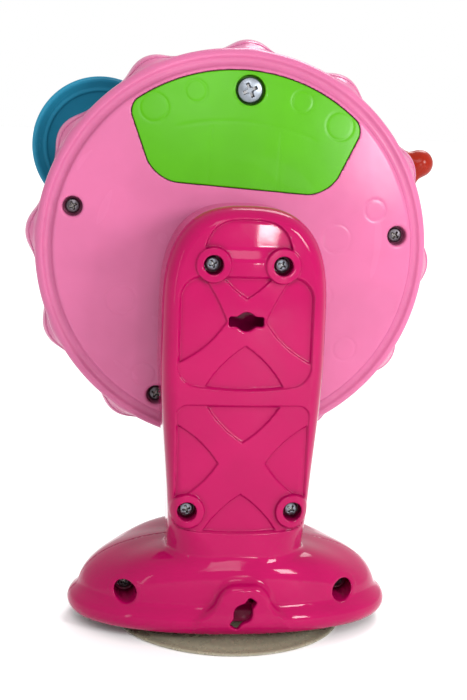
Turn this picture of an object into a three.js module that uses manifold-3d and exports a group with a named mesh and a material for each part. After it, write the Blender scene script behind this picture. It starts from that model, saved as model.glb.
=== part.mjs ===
// A baby's table-top activity wheel with lights and sound: a round electronic housing that spins on a
// hollow column, over an oval foot with a suction cup. Millimetres, +Z up. The wheel and its playthings
// face -Y, and the column and the battery door face +Y. The suction cup's lip lies on z = 0.
import * as THREE from "three";
import { mergeVertices } from "three/addons/utils/BufferGeometryUtils.js";
import Module from "manifold-3d";

// ---------------------------------------------------------------- driving dimensions
const GAP = 0.3; // between pieces that touch
const SCREW_GAP = 0.35; // around a threaded shank, whose thread isn't modelled
const WALL = 2.2; // moulded walls of the wheel
const STAND_WALL = 2.5; // moulded walls of the stand

// The frame's origin is under the middle of the whole object's box.
const ORIGIN_X = -3;
const ORIGIN_Y = 10.5;

const WHEEL_AXIS_Z = 139;
const WHEEL_R = 75;
const WHEEL_REST_TURN = THREE.MathUtils.degToRad(3.7); // how far the battery door stands off plumb
const BACK_APEX_Y = 12; // top of the domed back
const BACK_EDGE_Y = 5.5; // the dome at its edge
const BACK_EDGE_R = 69;
const SEAM_Y = -3; // where the wheel's two shells meet
const FACE_Y = -25; // flat front of the wheel
const BUMP_COUNT = 12;
const WHEEL_SIDES = 40; // facets round the wheel

const CASE_SCREW_R = 62.8; // from the wheel's axis
const CASE_SCREW_TURNS = [79.9, 157, -157, -79.9]; // degrees from the battery door's middle

const DOOR_INNER_Z = 23.6; // straight hinge edge, from the wheel's axis
const DOOR_OUTER_R = 66.8; // curved outer edge, round the wheel's axis
const DOOR_INNER_HALF = 32.8;
const DOOR_SIDE_LEAN = 7.4 / 17; // how fast the sides spread outward
const DOOR_GAP = 0.5;
const DOOR_THICK = 2.1;
const DOOR_SCREW_Z = 59.7;
const SEAT_Y = 3.4; // flat seat under the door

const BATTERY_R = 7;
const BATTERY_BODY = 49;
const BATTERY_Z = [32.4, 46.7];
const BATTERY_Y = -1.8;
const BAY = { halfX: 29, z0: 25, z1: 54, y0: -9.1 };

const AXLE_R = 4;
const BUSH_R = 6;
const BOARD_Y = -15.6; // front face of the circuit board
const BOARD_R = 27;
const BUTTON_R = 19;
const BUTTON_TRAVEL = 1.5;

const STATION_TURN = 32.5; // degrees, from the wheel's +X to the dish
const STATION_R = { dish: 62.2, star: 59, flower: 60 };
const STATION_REAR_Y = -27.6;
const SPEAKER = { turn: 212.5, r: 46, size: 16 };
const SWITCH = { turn: 332.5, r: 50, travel: 4 };

const COLUMN_FRONT_Y = 17;
const COLUMN_BACK_Y = 49.5;
const COLUMN_TOP_Z = 158;
const COLUMN_EDGE = 5.7; // broad rounded edge, in from the side
const COLUMN_EDGE_DEPTH = 7.5;
const STAND_SEAM_Y = 20;
const POST_R = 3.1; // screw posts inside the column
const POST_END_Y = 36;
const UPPER_SCREW = { x: 12.2, z: 137.8 };
const LOWER_SCREW = { x: 19, z: 49.5 };
const BASE_SCREW = { x: 40, z: 17.5 };

const BASE_Y = 19; // middle of the oval foot
const BASE_DEPTH_RATIO = 0.576; // its depth over its width
const CUP_R = 41.8;
const CUP_NECK_R = 7;

// ---------------------------------------------------------------- materials
const finish = (color, roughness, metalness = 0) =>
  new THREE.MeshStandardMaterial({ color, roughness, metalness });
const PALE_PINK = finish(0xf39ac4, 0.28);
const MAGENTA = finish(0xe0207a, 0.25);
const LIME = finish(0x6cc81e, 0.35);
const TEAL = finish(0x1f7fa0, 0.3);
const ORANGE = finish(0xc8330c, 0.3);
const YELLOW = finish(0xf2c21a, 0.3);
const LENS = finish(0x8c52c8, 0.2);
const MIRROR = finish(0xdddddd, 0.05, 1);
const STEEL = finish(0x9a9a9e, 0.35, 1);
const WHITE = finish(0xe6e6e2, 0.5);
const BLACK = finish(0x1c1c1e, 0.5);
const BOARD_GREEN = finish(0x1d6b3a, 0.5);
const CUP_CLEAR = finish(0x9d927a, 0.4);

// ---------------------------------------------------------------- solids
const wasm = await Module();
wasm.setup();

function solidOf(geometry) {
  const loose = geometry.index ? geometry.toNonIndexed() : geometry;
  const bare = new THREE.BufferGeometry();
  bare.setAttribute("position", loose.getAttribute("position"));
  const merged = mergeVertices(bare, 1e-4);
  const corners = merged.index.array;
  const whole = [];
  for (let i = 0; i < corners.length; i += 3) {
    const [a, b, c] = [corners[i], corners[i + 1], corners[i + 2]];
    if (a !== b && b !== c && c !== a) whole.push(a, b, c);
  }
  const build = (triangles) =>
    new wasm.Manifold(
      new wasm.Mesh({
        numProp: 3,
        vertProperties: merged.attributes.position.array,
        triVerts: new Uint32Array(triangles),
      }),
    );
  const made = build(whole);
  return made.volume() > 0 ? made : build(whole.reverse());
}

function geometryOf(shape) {
  const mesh = shape.getMesh();
  const geometry = new THREE.BufferGeometry();
  geometry.setAttribute("position", new THREE.BufferAttribute(mesh.vertProperties, 3));
  geometry.setIndex(new THREE.BufferAttribute(mesh.triVerts, 1));
  geometry.computeVertexNormals();
  return geometry;
}

const asSolid = (shape) => (shape.isBufferGeometry ? solidOf(shape) : shape);
const join = (...shapes) => shapes.map(asSolid).reduce((all, next) => all.add(next));
const common = (...shapes) => shapes.map(asSolid).reduce((all, next) => all.intersect(next));
const cut = (body, ...tools) => tools.map(asSolid).reduce((all, tool) => all.subtract(tool), asSolid(body));

function addPart(group, name, shape, material) {
  const mesh = new THREE.Mesh(geometryOf(asSolid(shape)), material);
  mesh.name = name;
  group.add(mesh);
  return mesh;
}

// A closed [radius, along] profile turned round the Y axis.
function turned(profile, segments = 24) {
  return new THREE.LatheGeometry(profile.map(([r, y]) => new THREE.Vector2(r, y)), segments);
}

// The same round the Z axis.
const turnedUp = (profile, segments) => turned(profile, segments).rotateX(Math.PI / 2);

// A round rod along Y, between two y values, at x and z.
function rod(radius, y0, y1, x = 0, z = 0, segments = 16) {
  return new THREE.CylinderGeometry(radius, radius, y1 - y0, segments).translate(x, (y0 + y1) / 2, z);
}

function block(x0, x1, y0, y1, z0, z1) {
  const box = new THREE.BoxGeometry(x1 - x0, y1 - y0, z1 - z0);
  return box.translate((x0 + x1) / 2, (y0 + y1) / 2, (z0 + z1) / 2);
}

// An outline in x and z, grown or shrunk by `grow`, filled from y0 to y1, with rounded rims `edge` wide.
function slab(outline, y0, y1, { edge = 0, edgeDepth = edge, grow = 0, curve = 4, rounds = 2 } = {}) {
  const geometry = new THREE.ExtrudeGeometry(outline, {
    depth: y1 - y0 - 2 * edgeDepth,
    curveSegments: curve,
    bevelEnabled: edge > 0,
    bevelSize: edge,
    bevelThickness: edgeDepth,
    bevelOffset: grow - edge,
    bevelSegments: rounds,
  });
  return geometry.rotateX(Math.PI / 2).translate(0, y1 - edgeDepth, 0);
}

// A closed shape in x and z from its right half, whose first and last points lie on x = 0.
function mirroredShape(drawRightHalf, curve = 4) {
  const half = new THREE.Path();
  drawRightHalf(half);
  const right = half.getPoints(curve);
  const left = right.slice(1, -1).reverse().map((p) => new THREE.Vector2(-p.x, p.y));
  return new THREE.Shape([...right, ...left]);
}

function roundShape(radius) {
  return new THREE.Shape().absarc(0, 0, radius, 0, 2 * Math.PI);
}

const polar = (radius, degrees) => {
  const angle = THREE.MathUtils.degToRad(degrees);
  return [radius * Math.cos(angle), radius * Math.sin(angle)];
};

// ---------------------------------------------------------------- fasteners
// A pan-head screw along Y whose head faces +Y (or -Y), with a cross recess.
function screw({ headR, headHigh, shankR, length, facing = 1 }) {
  const body = turned([
    [0, -length],
    [shankR, -length + shankR],
    [shankR, 0],
    [headR, 0],
    [headR * 0.8, headHigh],
    [0, headHigh],
  ], 8);
  const arm = headR * 0.55;
  const slot = headR * 0.14;
  const made = cut(body, join(
    block(-arm, arm, headHigh * 0.45, headHigh + 1, -slot, slot),
    block(-slot, slot, headHigh * 0.45, headHigh + 1, -arm, arm),
  ));
  const geometry = geometryOf(made);
  return facing > 0 ? geometry : geometry.rotateX(Math.PI);
}

// ---------------------------------------------------------------- stand
// The column from behind: a little waisted foot, widest at two thirds height, under a low arched crown.
function columnOutline() {
  return mirroredShape((path) => {
    path.moveTo(0, 20);
    path.lineTo(25, 20);
    path.lineTo(25, 34);
    path.bezierCurveTo(24.2, 62, 29.4, 84, 29.4, 108);
    path.bezierCurveTo(29.4, 132, 27.5, 145.5, 22, 151);
    path.bezierCurveTo(18, 156.2, 9, COLUMN_TOP_Z, 0, COLUMN_TOP_Z);
  });
}

// Half widths of the oval foot against height: a rolled rim, a groove over it, and a low dome.
function baseProfile(inset) {
  const steps = [
    [57, 2.4],
    [60.3, 4.5],
    [60.3, 10.5],
    [57, 12.8],
    [54.4, 19.8],
    [51.5, 24.7],
    [46.1, 29.5],
    [37, 34],
  ].map(([r, z]) => [r - inset, z - inset * (z > 20 ? 1 : 0)]);
  const top = steps[steps.length - 1][1] + 2;
  const low = inset > 0 ? -1 : 2.4;
  return [[0, low], [steps[0][0], low], ...steps.slice(inset > 0 ? 0 : 1), [0, top]];
}

function baseBody(inset) {
  const dome = turnedUp(baseProfile(inset), 32);
  dome.scale(1, inset > 0 ? BASE_DEPTH_RATIO - 0.02 : BASE_DEPTH_RATIO, 1).translate(0, BASE_Y, 0);
  const collarHalf = 31 - inset;
  const collarFront = 14 + inset;
  const collarBack = 51.6 - inset;
  const round = 12;
  const plan = new THREE.Shape();
  plan.moveTo(-collarHalf, collarFront);
  plan.lineTo(collarHalf, collarFront);
  plan.lineTo(collarHalf, collarBack - round);
  plan.quadraticCurveTo(collarHalf, collarBack, collarHalf - round, collarBack);
  plan.lineTo(-collarHalf + round, collarBack);
  plan.quadraticCurveTo(-collarHalf, collarBack, -collarHalf, collarBack - round);
  const collar = new THREE.ExtrudeGeometry(plan, {
    depth: 34.6 - inset - 14 - 4,
    curveSegments: 4,
    bevelEnabled: true,
    bevelSize: 3,
    bevelThickness: 4,
    bevelOffset: -3,
    bevelSegments: 2,
  }).translate(0, 0, 14);
  const collarTop = common(collar, block(-70, 70, -40, 80, 14, 40));
  return join(dome, collarTop);
}

// A tie slot seen from behind: a bar with a round middle, leaning by `lean` degrees from level.
function tieSlot(x, z, lean, y0, y1) {
  const bar = new THREE.BoxGeometry(12.9, y1 - y0, 3.9).rotateY(THREE.MathUtils.degToRad(-lean));
  return join(bar.translate(x, (y0 + y1) / 2, z), rod(3.8, y0, y1, x, z, 16));
}

// Crossed raised bands in a sunk panel.
function crossBands(z, width, y0, y1, degrees) {
  const band = (turn) => {
    const bar = new THREE.BoxGeometry(90, y1 - y0, width).rotateY(THREE.MathUtils.degToRad(turn));
    return bar.translate(0, (y0 + y1) / 2, z);
  };
  return join(band(degrees), band(-degrees));
}

function sunkPanel(bottomZ, cornerZ, topZ, half) {
  return mirroredShape((path) => {
    path.moveTo(0, bottomZ);
    path.quadraticCurveTo(half * 0.7, bottomZ, half, cornerZ);
    path.lineTo(half, topZ - 4);
    path.quadraticCurveTo(half, topZ, half - 4, topZ);
    path.lineTo(0, topZ);
  }, 3);
}

function crownPanel() {
  return mirroredShape((path) => {
    path.moveTo(0, 136);
    path.lineTo(16, 136);
    path.lineTo(14.6, 148.1);
    path.quadraticCurveTo(8, 153.6, 0, 153.6);
  }, 3);
}

function standShells() {
  const columnEdge = { edge: COLUMN_EDGE, edgeDepth: COLUMN_EDGE_DEPTH };
  const column = slab(columnOutline(), COLUMN_FRONT_Y, COLUMN_BACK_Y, columnEdge);
  const columnHollow = slab(columnOutline(), COLUMN_FRONT_Y + STAND_WALL, COLUMN_BACK_Y - STAND_WALL, {
    ...columnEdge,
    grow: -STAND_WALL,
  });
  const lobe = mirroredShape((path) => {
    path.moveTo(0, 8);
    path.lineTo(17, 8);
    path.bezierCurveTo(14, 14, 14, 24, 5, 24);
    path.lineTo(0, 24);
  }, 4);
  const outer = join(column, baseBody(0), slab(lobe, 40, 54.6, { edge: 1.5 }));
  const hollow = join(columnHollow, baseBody(STAND_WALL));
  const neckWeb = common(hollow, block(-33, 33, -40, 80, 13.2, 15.4));
  const neckHole = rod(CUP_NECK_R + GAP, 13, 15.6, 0, 0, 24);
  neckHole.translate(0, -14.3, 0).rotateX(Math.PI / 2).translate(0, BASE_Y, 14.3);
  const shell = cut(join(cut(outer, hollow), neckWeb), neckHole);

  const columnScrews = [UPPER_SCREW, LOWER_SCREW].flatMap(({ x, z }) => [[x, z], [-x, z]]);
  const baseScrews = [[BASE_SCREW.x, BASE_SCREW.z], [-BASE_SCREW.x, BASE_SCREW.z]];

  // Rear half: panels, bands, rings, counterbores, tie slots.
  const behind = block(-80, 80, STAND_SEAM_Y + GAP / 2, 80, -5, 170);
  const face = COLUMN_BACK_Y;
  const sink = 1;
  const upperPanel = slab(sunkPanel(93.3, 100, 133.8, 23.7), face - sink, face + 1);
  const lowerPanel = slab(sunkPanel(41.5, 43.5, 88, 23.7), face - sink, face + 1);
  const crown = slab(crownPanel(), face - sink, face + 1);
  const upperSinks = cut(upperPanel, crossBands(118, 11, face - 2, face + 2, 44));
  const lowerSinks = cut(lowerPanel, crossBands(66, 10.7, face - 2, face + 2, 45));
  let rear = cut(common(shell, behind), upperSinks, lowerSinks, crown);
  for (const [x, z] of columnScrews) {
    rear = join(rear, rod(6.5, face - 3, face + 0.2, x, z, 16), rod(5.2, POST_END_Y, face - 2, x, z, 12));
    rear = cut(rear, rod(3.45, 43.6, face + 2, x, z, 14), rod(1.3 + SCREW_GAP, 30, face, x, z, 8));
    rear = cut(rear, rod(POST_R + GAP, 18, POST_END_Y, x, z, 10));
  }
  for (const [x, z] of baseScrews) {
    const tube = common(rod(5.3, 27, 48, x, z, 16), outer);
    rear = cut(join(rear, tube), rod(4, 29.5, 60, x, z, 16), rod(1.3 + SCREW_GAP, 20, 40, x, z, 10));
  }
  rear = cut(rear, tieSlot(0, 118, 0, face - 6, face + 2), tieSlot(-1.7, 12.9, -55, 46, 58));

  // Front half: a shallow cover with the axle's boss, the screw posts and the front of the foot.
  const ahead = block(-80, 80, -60, STAND_SEAM_Y - GAP / 2, -5, 170);
  let front = join(common(shell, ahead), rod(7.5, COLUMN_FRONT_Y, 22, 0, WHEEL_AXIS_Z, 20));
  for (const [x, z] of columnScrews) {
    const post = rod(POST_R, COLUMN_FRONT_Y + 1, POST_END_Y - GAP, x, z, 10);
    front = cut(join(front, post), rod(1.3 + SCREW_GAP, 22, 50, x, z, 10));
  }
  for (const [x, z] of baseScrews) {
    const pillar = common(rod(4, -20, 27 - GAP, x, z, 12), outer);
    front = cut(join(front, pillar), rod(1.3 + SCREW_GAP, 4, 40, x, z, 10));
  }
  front = cut(front, rod(AXLE_R + GAP, 10, 30, 0, WHEEL_AXIS_Z, 20));
  return { front, rear };
}

function suctionCup() {
  return turnedUp([
    [0, 7],
    [8, 6.4],
    [16, 4.4],
    [24, 2],
    [30, 0.9],
    [38.6, 0],
    [CUP_R, 0],
    [CUP_R, 0.9],
    [36, 1.5],
    [30, 2],
    [24.5, 3.2],
    [18, 6.5],
    [11, 9.2],
    [CUP_NECK_R, 10],
    [CUP_NECK_R, 16.2],
    [9.5, 16.6],
    [9.5, 19.5],
    [7.5, 21],
    [0, 21],
  ], 32).translate(0, BASE_Y, 0);
}

function addStand(toy) {
  const { front, rear } = standShells();
  addPart(toy, "stand_front_shell", front, MAGENTA);
  addPart(toy, "stand_rear_shell", rear, MAGENTA);
  addPart(toy, "suction_cup", suctionCup(), CUP_CLEAR);
  const shellScrew = { headR: 2.8, headHigh: 2.1, shankR: 1.3, length: 18 };
  const places = {
    column_screw_upper_left: [UPPER_SCREW.x, 43.6, UPPER_SCREW.z],
    column_screw_upper_right: [-UPPER_SCREW.x, 43.6, UPPER_SCREW.z],
    column_screw_lower_left: [LOWER_SCREW.x, 43.6, LOWER_SCREW.z],
    column_screw_lower_right: [-LOWER_SCREW.x, 43.6, LOWER_SCREW.z],
    base_screw_left: [BASE_SCREW.x, 29.5, BASE_SCREW.z],
    base_screw_right: [-BASE_SCREW.x, 29.5, BASE_SCREW.z],
  };
  for (const [name, [x, floor, z]] of Object.entries(places)) {
    addPart(toy, name, screw(shellScrew), STEEL).position.set(x, floor + GAP, z);
  }
}

// ---------------------------------------------------------------- axle
const BOSS_END_Y = -9;
const AXLE_END_Y = -9.5;

function addAxle(toy) {
  const axle = cut(
    turned([[0, AXLE_END_Y], [AXLE_R, AXLE_END_Y], [AXLE_R, 22.3], [6.3, 22.3], [6.3, 24.5], [0, 24.5]], 20),
    rod(1.5 + SCREW_GAP, AXLE_END_Y - 1, 4, 0, 0, 10),
  );
  const ring = (inner, outer, y0, y1) =>
    turned([[inner, y0], [outer, y0], [outer, y1], [inner, y1], [inner, y0]], 20);
  addPart(toy, "axle", axle, STEEL);
  addPart(toy, "thrust_washer", ring(AXLE_R + GAP, 9.5, BACK_APEX_Y + 2.3, COLUMN_FRONT_Y - GAP), WHITE);
  addPart(toy, "axle_washer", ring(1.5 + SCREW_GAP, 8, AXLE_END_Y - GAP - 1.2, AXLE_END_Y - GAP), STEEL);
  const lock = screw({ headR: 3.6, headHigh: 1.8, shankR: 1.5, length: 11, facing: -1 });
  addPart(toy, "axle_screw", lock, STEEL).position.y = AXLE_END_Y - 1.5 - GAP;
}

// ---------------------------------------------------------------- wheel shells
const backDomeY = (r) => BACK_APEX_Y - (BACK_APEX_Y - BACK_EDGE_Y) * (r / BACK_EDGE_R) ** 2;

// Everything ahead of the domed back, sunk by `depth`.
function underDome(depth) {
  const arc = [];
  for (let r = 0; r <= 72; r += 24) arc.push([r, backDomeY(r) - depth]);
  return turned([[0, -40], [72, -40], ...arc.reverse()], WHEEL_SIDES);
}

// The battery door's outline: a straight inner edge, leaning sides and an arc round the wheel's axis.
function doorOutline(grow) {
  const tilt = Math.atan(DOOR_SIDE_LEAN);
  const innerZ = DOOR_INNER_Z - grow;
  const outerR = DOOR_OUTER_R + grow;
  const innerX = DOOR_INNER_HALF + grow / Math.cos(tilt) - grow * DOOR_SIDE_LEAN;
  // Where the side, x = innerX + lean * (z - innerZ), meets the outer arc.
  const lean = DOOR_SIDE_LEAN;
  const offset = innerX - lean * innerZ;
  const reach = outerR * outerR * (1 + lean * lean) - offset * offset;
  const cornerZ = (-lean * offset + Math.sqrt(reach)) / (1 + lean * lean);
  const cornerX = offset + lean * cornerZ;
  const sideDirection = [Math.sin(tilt), Math.cos(tilt)];
  const innerRound = 7;
  const outerRound = 3.5;
  const arcStart = Math.atan2(cornerZ, cornerX) + outerRound / outerR;
  return mirroredShape((path) => {
    path.moveTo(0, innerZ);
    path.lineTo(innerX - innerRound, innerZ);
    path.quadraticCurveTo(
      innerX, innerZ, innerX + innerRound * sideDirection[0], innerZ + innerRound * sideDirection[1],
    );
    path.lineTo(cornerX - outerRound * sideDirection[0], cornerZ - outerRound * sideDirection[1]);
    path.quadraticCurveTo(cornerX, cornerZ, outerR * Math.cos(arcStart), outerR * Math.sin(arcStart));
    path.absarc(0, 0, outerR, arcStart, Math.PI / 2);
  });
}

const doorTabs = [-14, 14];

function backShell() {
  const profile = [];
  for (let r = 0; r <= BACK_EDGE_R; r += 23) profile.push([r, backDomeY(r)]);
  profile.push([69.5, 4.7], [70.3, 4.7], [71, 5.1], [73.2, 3.6], [74.6, 1.4], [WHEEL_R, -0.8]);
  profile.push([WHEEL_R, SEAM_Y + GAP / 2], [WHEEL_R - WALL, SEAM_Y + GAP / 2]);
  profile.push([WHEEL_R - WALL, -0.8], [71, 2]);
  for (let r = BACK_EDGE_R; r >= 0; r -= 23) profile.push([r, backDomeY(r) - WALL - (r > 60 ? 0.6 : 0)]);
  let shell = solidOf(turned(profile, WHEEL_SIDES));

  // The battery door's frame and seat, and the bay's tub under it.
  const tubHalf = BAY.halfX + 1.6;
  const tub = block(-tubHalf, tubHalf, BAY.y0 - 1.6, SEAT_Y - 0.4, BAY.z0 - 1.6, BAY.z1 + 1.6);
  const frame = common(slab(doorOutline(2.2), SEAT_Y - 1.8, 20), underDome(0.6));
  const doorPost = rod(4.2, BAY.y0 - 1.6, SEAT_Y - 1.5, 0, DOOR_SCREW_Z, 12);
  shell = join(shell, frame, tub, doorPost);
  shell = cut(
    shell,
    slab(doorOutline(DOOR_GAP), SEAT_Y, 20),
    block(-BAY.halfX, BAY.halfX, BAY.y0, 20, BAY.z0, BAY.z1),
    rod(6.7, 2.2, SEAT_Y + 1, 0, DOOR_SCREW_Z, 16),
    rod(2.7, BAY.y0, 10, 0, DOOR_SCREW_Z, 12),
    ...doorTabs.map((x) => block(x - 4.5, x + 4.5, 3.5, backDomeY(24) - DOOR_THICK - 0.2, 20.3, 27)),
  );

  for (const turn of CASE_SCREW_TURNS) {
    const [x, z] = polar(CASE_SCREW_R, 90 - turn);
    shell = join(shell, rod(5.4, -1.6, backDomeY(CASE_SCREW_R) - 1, x, z, 14));
    shell = cut(shell, rod(3.7, 1, 20, x, z, 16), rod(1.3 + SCREW_GAP, -3, 5, x, z, 10));
  }
  shell = join(shell, rod(BUSH_R + 2.6, BOSS_END_Y, BACK_APEX_Y - 1, 0, 0, 20));
  return cut(shell, rod(BUSH_R + GAP, BOSS_END_Y - 1, 20, 0, 0, 20));
}

function frontShell() {
  const round = [
    [62, FACE_Y],
    [68, FACE_Y + 1],
    [72.5, FACE_Y + 4.2],
    [74.6, FACE_Y + 9.5],
    [WHEEL_R, FACE_Y + 15],
    [WHEEL_R, SEAM_Y - GAP / 2],
    [WHEEL_R - WALL, SEAM_Y - GAP / 2],
    [WHEEL_R - WALL, FACE_Y + 12],
    [70.4, FACE_Y + 6],
    [66, FACE_Y + 3.2],
    [61, FACE_Y + WALL],
  ];
  const hull = turned([[0, FACE_Y], ...round, [0, FACE_Y + WALL]], WHEEL_SIDES);
  let shell = solidOf(hull);
  const core = rod(WHEEL_R - WALL / 2, FACE_Y, 5, 0, 0, WHEEL_SIDES);
  for (let i = 0; i < BUMP_COUNT; i += 1) {
    const bump = new THREE.SphereGeometry(1, 8, 6).scale(6.3, 7.4, 8.5);
    bump.translate(WHEEL_R - 1.5, SEAM_Y - 7.6, 0).rotateY((i * 2 * Math.PI) / BUMP_COUNT);
    shell = join(shell, cut(bump, core));
  }
  const posts = [];
  const holes = [rod(BUTTON_R + 0.4, FACE_Y - 1, FACE_Y + WALL + 1, 0, 0, 32)];
  for (const turn of CASE_SCREW_TURNS) {
    const [x, z] = polar(CASE_SCREW_R, 90 - turn);
    posts.push(rod(3.9, FACE_Y + 1, -1.9, x, z, 12));
    holes.push(rod(1.3 + SCREW_GAP, -17, 0, x, z, 10));
  }
  stationPlaces().forEach(([x, z]) => {
    posts.push(rod(5, FACE_Y + 1, -13, x, z, 12));
    holes.push(rod(2 + GAP, FACE_Y - 1, -14.5, x, z, 10));
  });
  boardPosts().forEach(([x, z]) => {
    posts.push(rod(2.2, FACE_Y + 1, BOARD_Y - GAP, x, z, 10), rod(1.1, BOARD_Y - 1, BOARD_Y + 3, x, z, 8));
  });
  const [speakerX, speakerZ] = polar(SPEAKER.r, SPEAKER.turn);
  for (const ring of [{ count: 1, r: 0 }, { count: 6, r: 4.4 }, { count: 8, r: 8.8 }]) {
    for (let i = 0; i < ring.count; i += 1) {
      const [x, z] = polar(ring.r, (i * 360) / ring.count);
      holes.push(rod(1.2, FACE_Y - 1, FACE_Y + WALL + 1, speakerX + x, speakerZ + z, 6));
    }
  }
  const [switchX, switchZ] = polar(SWITCH.r, SWITCH.turn);
  const slotHalf = SWITCH.travel / 2 + 2 + GAP;
  holes.push(block(switchX - slotHalf, switchX + slotHalf, FACE_Y - 1, FACE_Y + 4, switchZ - 2, switchZ + 2));
  return cut(join(shell, ...posts), ...holes);
}

function batteryDoor() {
  const skin = cut(common(underDome(0), slab(doorOutline(0), -20, 20)), underDome(DOOR_THICK));
  const cup = common(rod(6.3, 2.6, 20, 0, DOOR_SCREW_Z, 18), underDome(0));
  const tabs = doorTabs.map((x) => {
    const under = backDomeY(24) - DOOR_THICK - 0.7;
    return join(
      block(x - 4, x + 4, under - 1.5, under, 20.9, 26.4),
      block(x - 4, x + 4, under - 1.5, backDomeY(26) - 1, 24, 26.4),
    );
  });
  return cut(
    join(skin, cup, ...tabs),
    rod(5.5, 3.8, 20, 0, DOOR_SCREW_Z, 18),
    rod(1.4 + SCREW_GAP, 0, 10, 0, DOOR_SCREW_Z, 10),
  );
}

function stationPlaces() {
  return [
    polar(STATION_R.dish, STATION_TURN),
    polar(STATION_R.star, STATION_TURN + 120),
    polar(STATION_R.flower, STATION_TURN + 240),
  ];
}

const boardPosts = () => [90, 210, 330].map((turn) => polar(24, turn));

// ---------------------------------------------------------------- electronics
function battery() {
  const half = BATTERY_BODY / 2;
  return turned([
    [0, -half],
    [BATTERY_R - 0.5, -half],
    [BATTERY_R, -half + 0.6],
    [BATTERY_R, half - 0.8],
    [BATTERY_R - 0.8, half],
    [2.75, half],
    [2.75, half + 1.5],
    [0, half + 1.5],
  ], 20).rotateZ(-Math.PI / 2);
}

function coilSpring(length) {
  const turns = 3;
  const points = [];
  for (let i = 0; i <= turns * 7; i += 1) {
    const part = i / (turns * 7);
    const [z, y] = polar(4.6 - 1.6 * part, part * turns * 360);
    points.push(new THREE.Vector3(part * length, y, z));
  }
  const wire = new THREE.Shape().absarc(0, 0, 0.4, 0, 2 * Math.PI);
  return new THREE.ExtrudeGeometry(wire, {
    steps: turns * 7,
    curveSegments: 3,
    extrudePath: new THREE.CatmullRomCurve3(points),
  });
}

function addBatteries(wheel) {
  const [lowZ, highZ] = BATTERY_Z;
  const wallX = BAY.halfX - GAP;
  const plateX = wallX - 0.4;
  const tipX = plateX - GAP;
  const middle = tipX - 1.5 - BATTERY_BODY / 2;
  const flatX = middle - BATTERY_BODY / 2;
  addPart(wheel, "battery_upper", battery(), BLACK).position.set(middle, BATTERY_Y, highZ);
  const lower = addPart(wheel, "battery_lower", battery(), BLACK);
  lower.position.set(-middle, BATTERY_Y, lowZ);
  lower.rotation.y = Math.PI;

  const plate = (x, z0, z1) => block(x - 0.2, x + 0.2, -8.2, 4.2, z0, z1);
  addPart(wheel, "contact_bridge", plate(-wallX + 0.2, lowZ - 6, highZ + 6), STEEL);
  addPart(wheel, "contact_positive", plate(wallX - 0.2, highZ - 6, highZ + 6), STEEL);
  addPart(wheel, "contact_negative", plate(wallX - 0.2, lowZ - 6, lowZ + 6), STEEL);
  const room = flatX + plateX - 2 * (GAP + 0.45);
  const upper = addPart(wheel, "battery_spring_upper", coilSpring(room), STEEL);
  upper.position.set(-plateX + GAP + 0.45, BATTERY_Y, highZ);
  const under = addPart(wheel, "battery_spring_lower", coilSpring(room), STEEL);
  under.position.set(plateX - GAP - 0.45, BATTERY_Y, lowZ);
  under.rotation.y = Math.PI;
}

function addElectronics(wheel) {
  // A round board, flat along its lower side to clear the speaker, staked on three posts.
  const outline = new THREE.Shape().absarc(0, 0, BOARD_R, -0.82, Math.PI + 0.82);
  const holes = boardPosts().map(([x, z]) => rod(1.1 + GAP, BOARD_Y - 1, BOARD_Y + 3, x, z, 8));
  const board = cut(slab(outline, BOARD_Y, BOARD_Y + 1.6, { curve: 16 }), ...holes);
  addPart(wheel, "circuit_board", board, BOARD_GREEN);

  const top = BOARD_Y - GAP;
  const press = join(block(-3, 3, top - 2, top, -3, 3), rod(1.7, top - 3.1, top - 1, 0, 0, 12));
  addPart(wheel, "press_switch", press, BLACK);
  for (const [name, x] of [["led_left", 10], ["led_right", -10]]) {
    const led = turned([[0, 0], [2.9, 0], [2.9, -1], [2.5, -1], [2.5, -3], [1.6, -4.3], [0, -4.8]], 14);
    addPart(wheel, name, led, WHITE).position.set(x, top, 0);
  }
  const sensor = new THREE.CylinderGeometry(2.2, 2.2, 9, 12).rotateZ(Math.PI / 2);
  addPart(wheel, "motion_sensor", sensor, STEEL).position.set(0, top - 2.3, 13);
  const chip = new THREE.BoxGeometry(11, 1.2, 11);
  addPart(wheel, "sound_chip", chip, BLACK).position.set(0, BOARD_Y + 1.6 + GAP + 0.6, -14);

  const [x, z] = polar(SPEAKER.r, SPEAKER.turn);
  const inner = FACE_Y + WALL + 0.4;
  const basket = turned([
    [0, inner + 4],
    [6, inner + 4],
    [12.6, inner + 1],
    [13, inner],
    [SPEAKER.size, inner],
    [SPEAKER.size, inner + 1.6],
    [14.4, inner + 2],
    [9, inner + 6],
    [9, inner + 10],
    [0, inner + 10],
  ], 24);
  addPart(wheel, "speaker", basket, STEEL).position.set(x, 0, z);
  const cone = turned([[0, inner + 2.6], [3, inner + 2.6], [11.6, inner], [12.4, inner], [12.3, inner + 0.6],
    [5.6, inner + 3.6], [0, inner + 3.6]], 24);
  addPart(wheel, "speaker_cone", cone, BLACK).position.set(x, 0, z);

  const [switchX, switchZ] = polar(SWITCH.r, SWITCH.turn);
  const housing = block(-7, 7, -19.4, -14.4, -4, 4);
  addPart(wheel, "power_switch_body", housing, BLACK).position.set(switchX, 0, switchZ);
  const ribs = [-2, 0, 2].map((rib) => block(rib - 0.5, rib + 0.5, FACE_Y - 3.4, FACE_Y - 2, -3, 3));
  const knob = join(
    block(-7, 7, FACE_Y - 2.2, FACE_Y - GAP, -3.6, 3.6),
    block(-2, 2, FACE_Y - 1, -19.4 - GAP, -1.6, 1.6),
    ...ribs,
  );
  addPart(wheel, "power_switch_knob", knob, WHITE).position.set(switchX - SWITCH.travel / 2, 0, switchZ);
}

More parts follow.
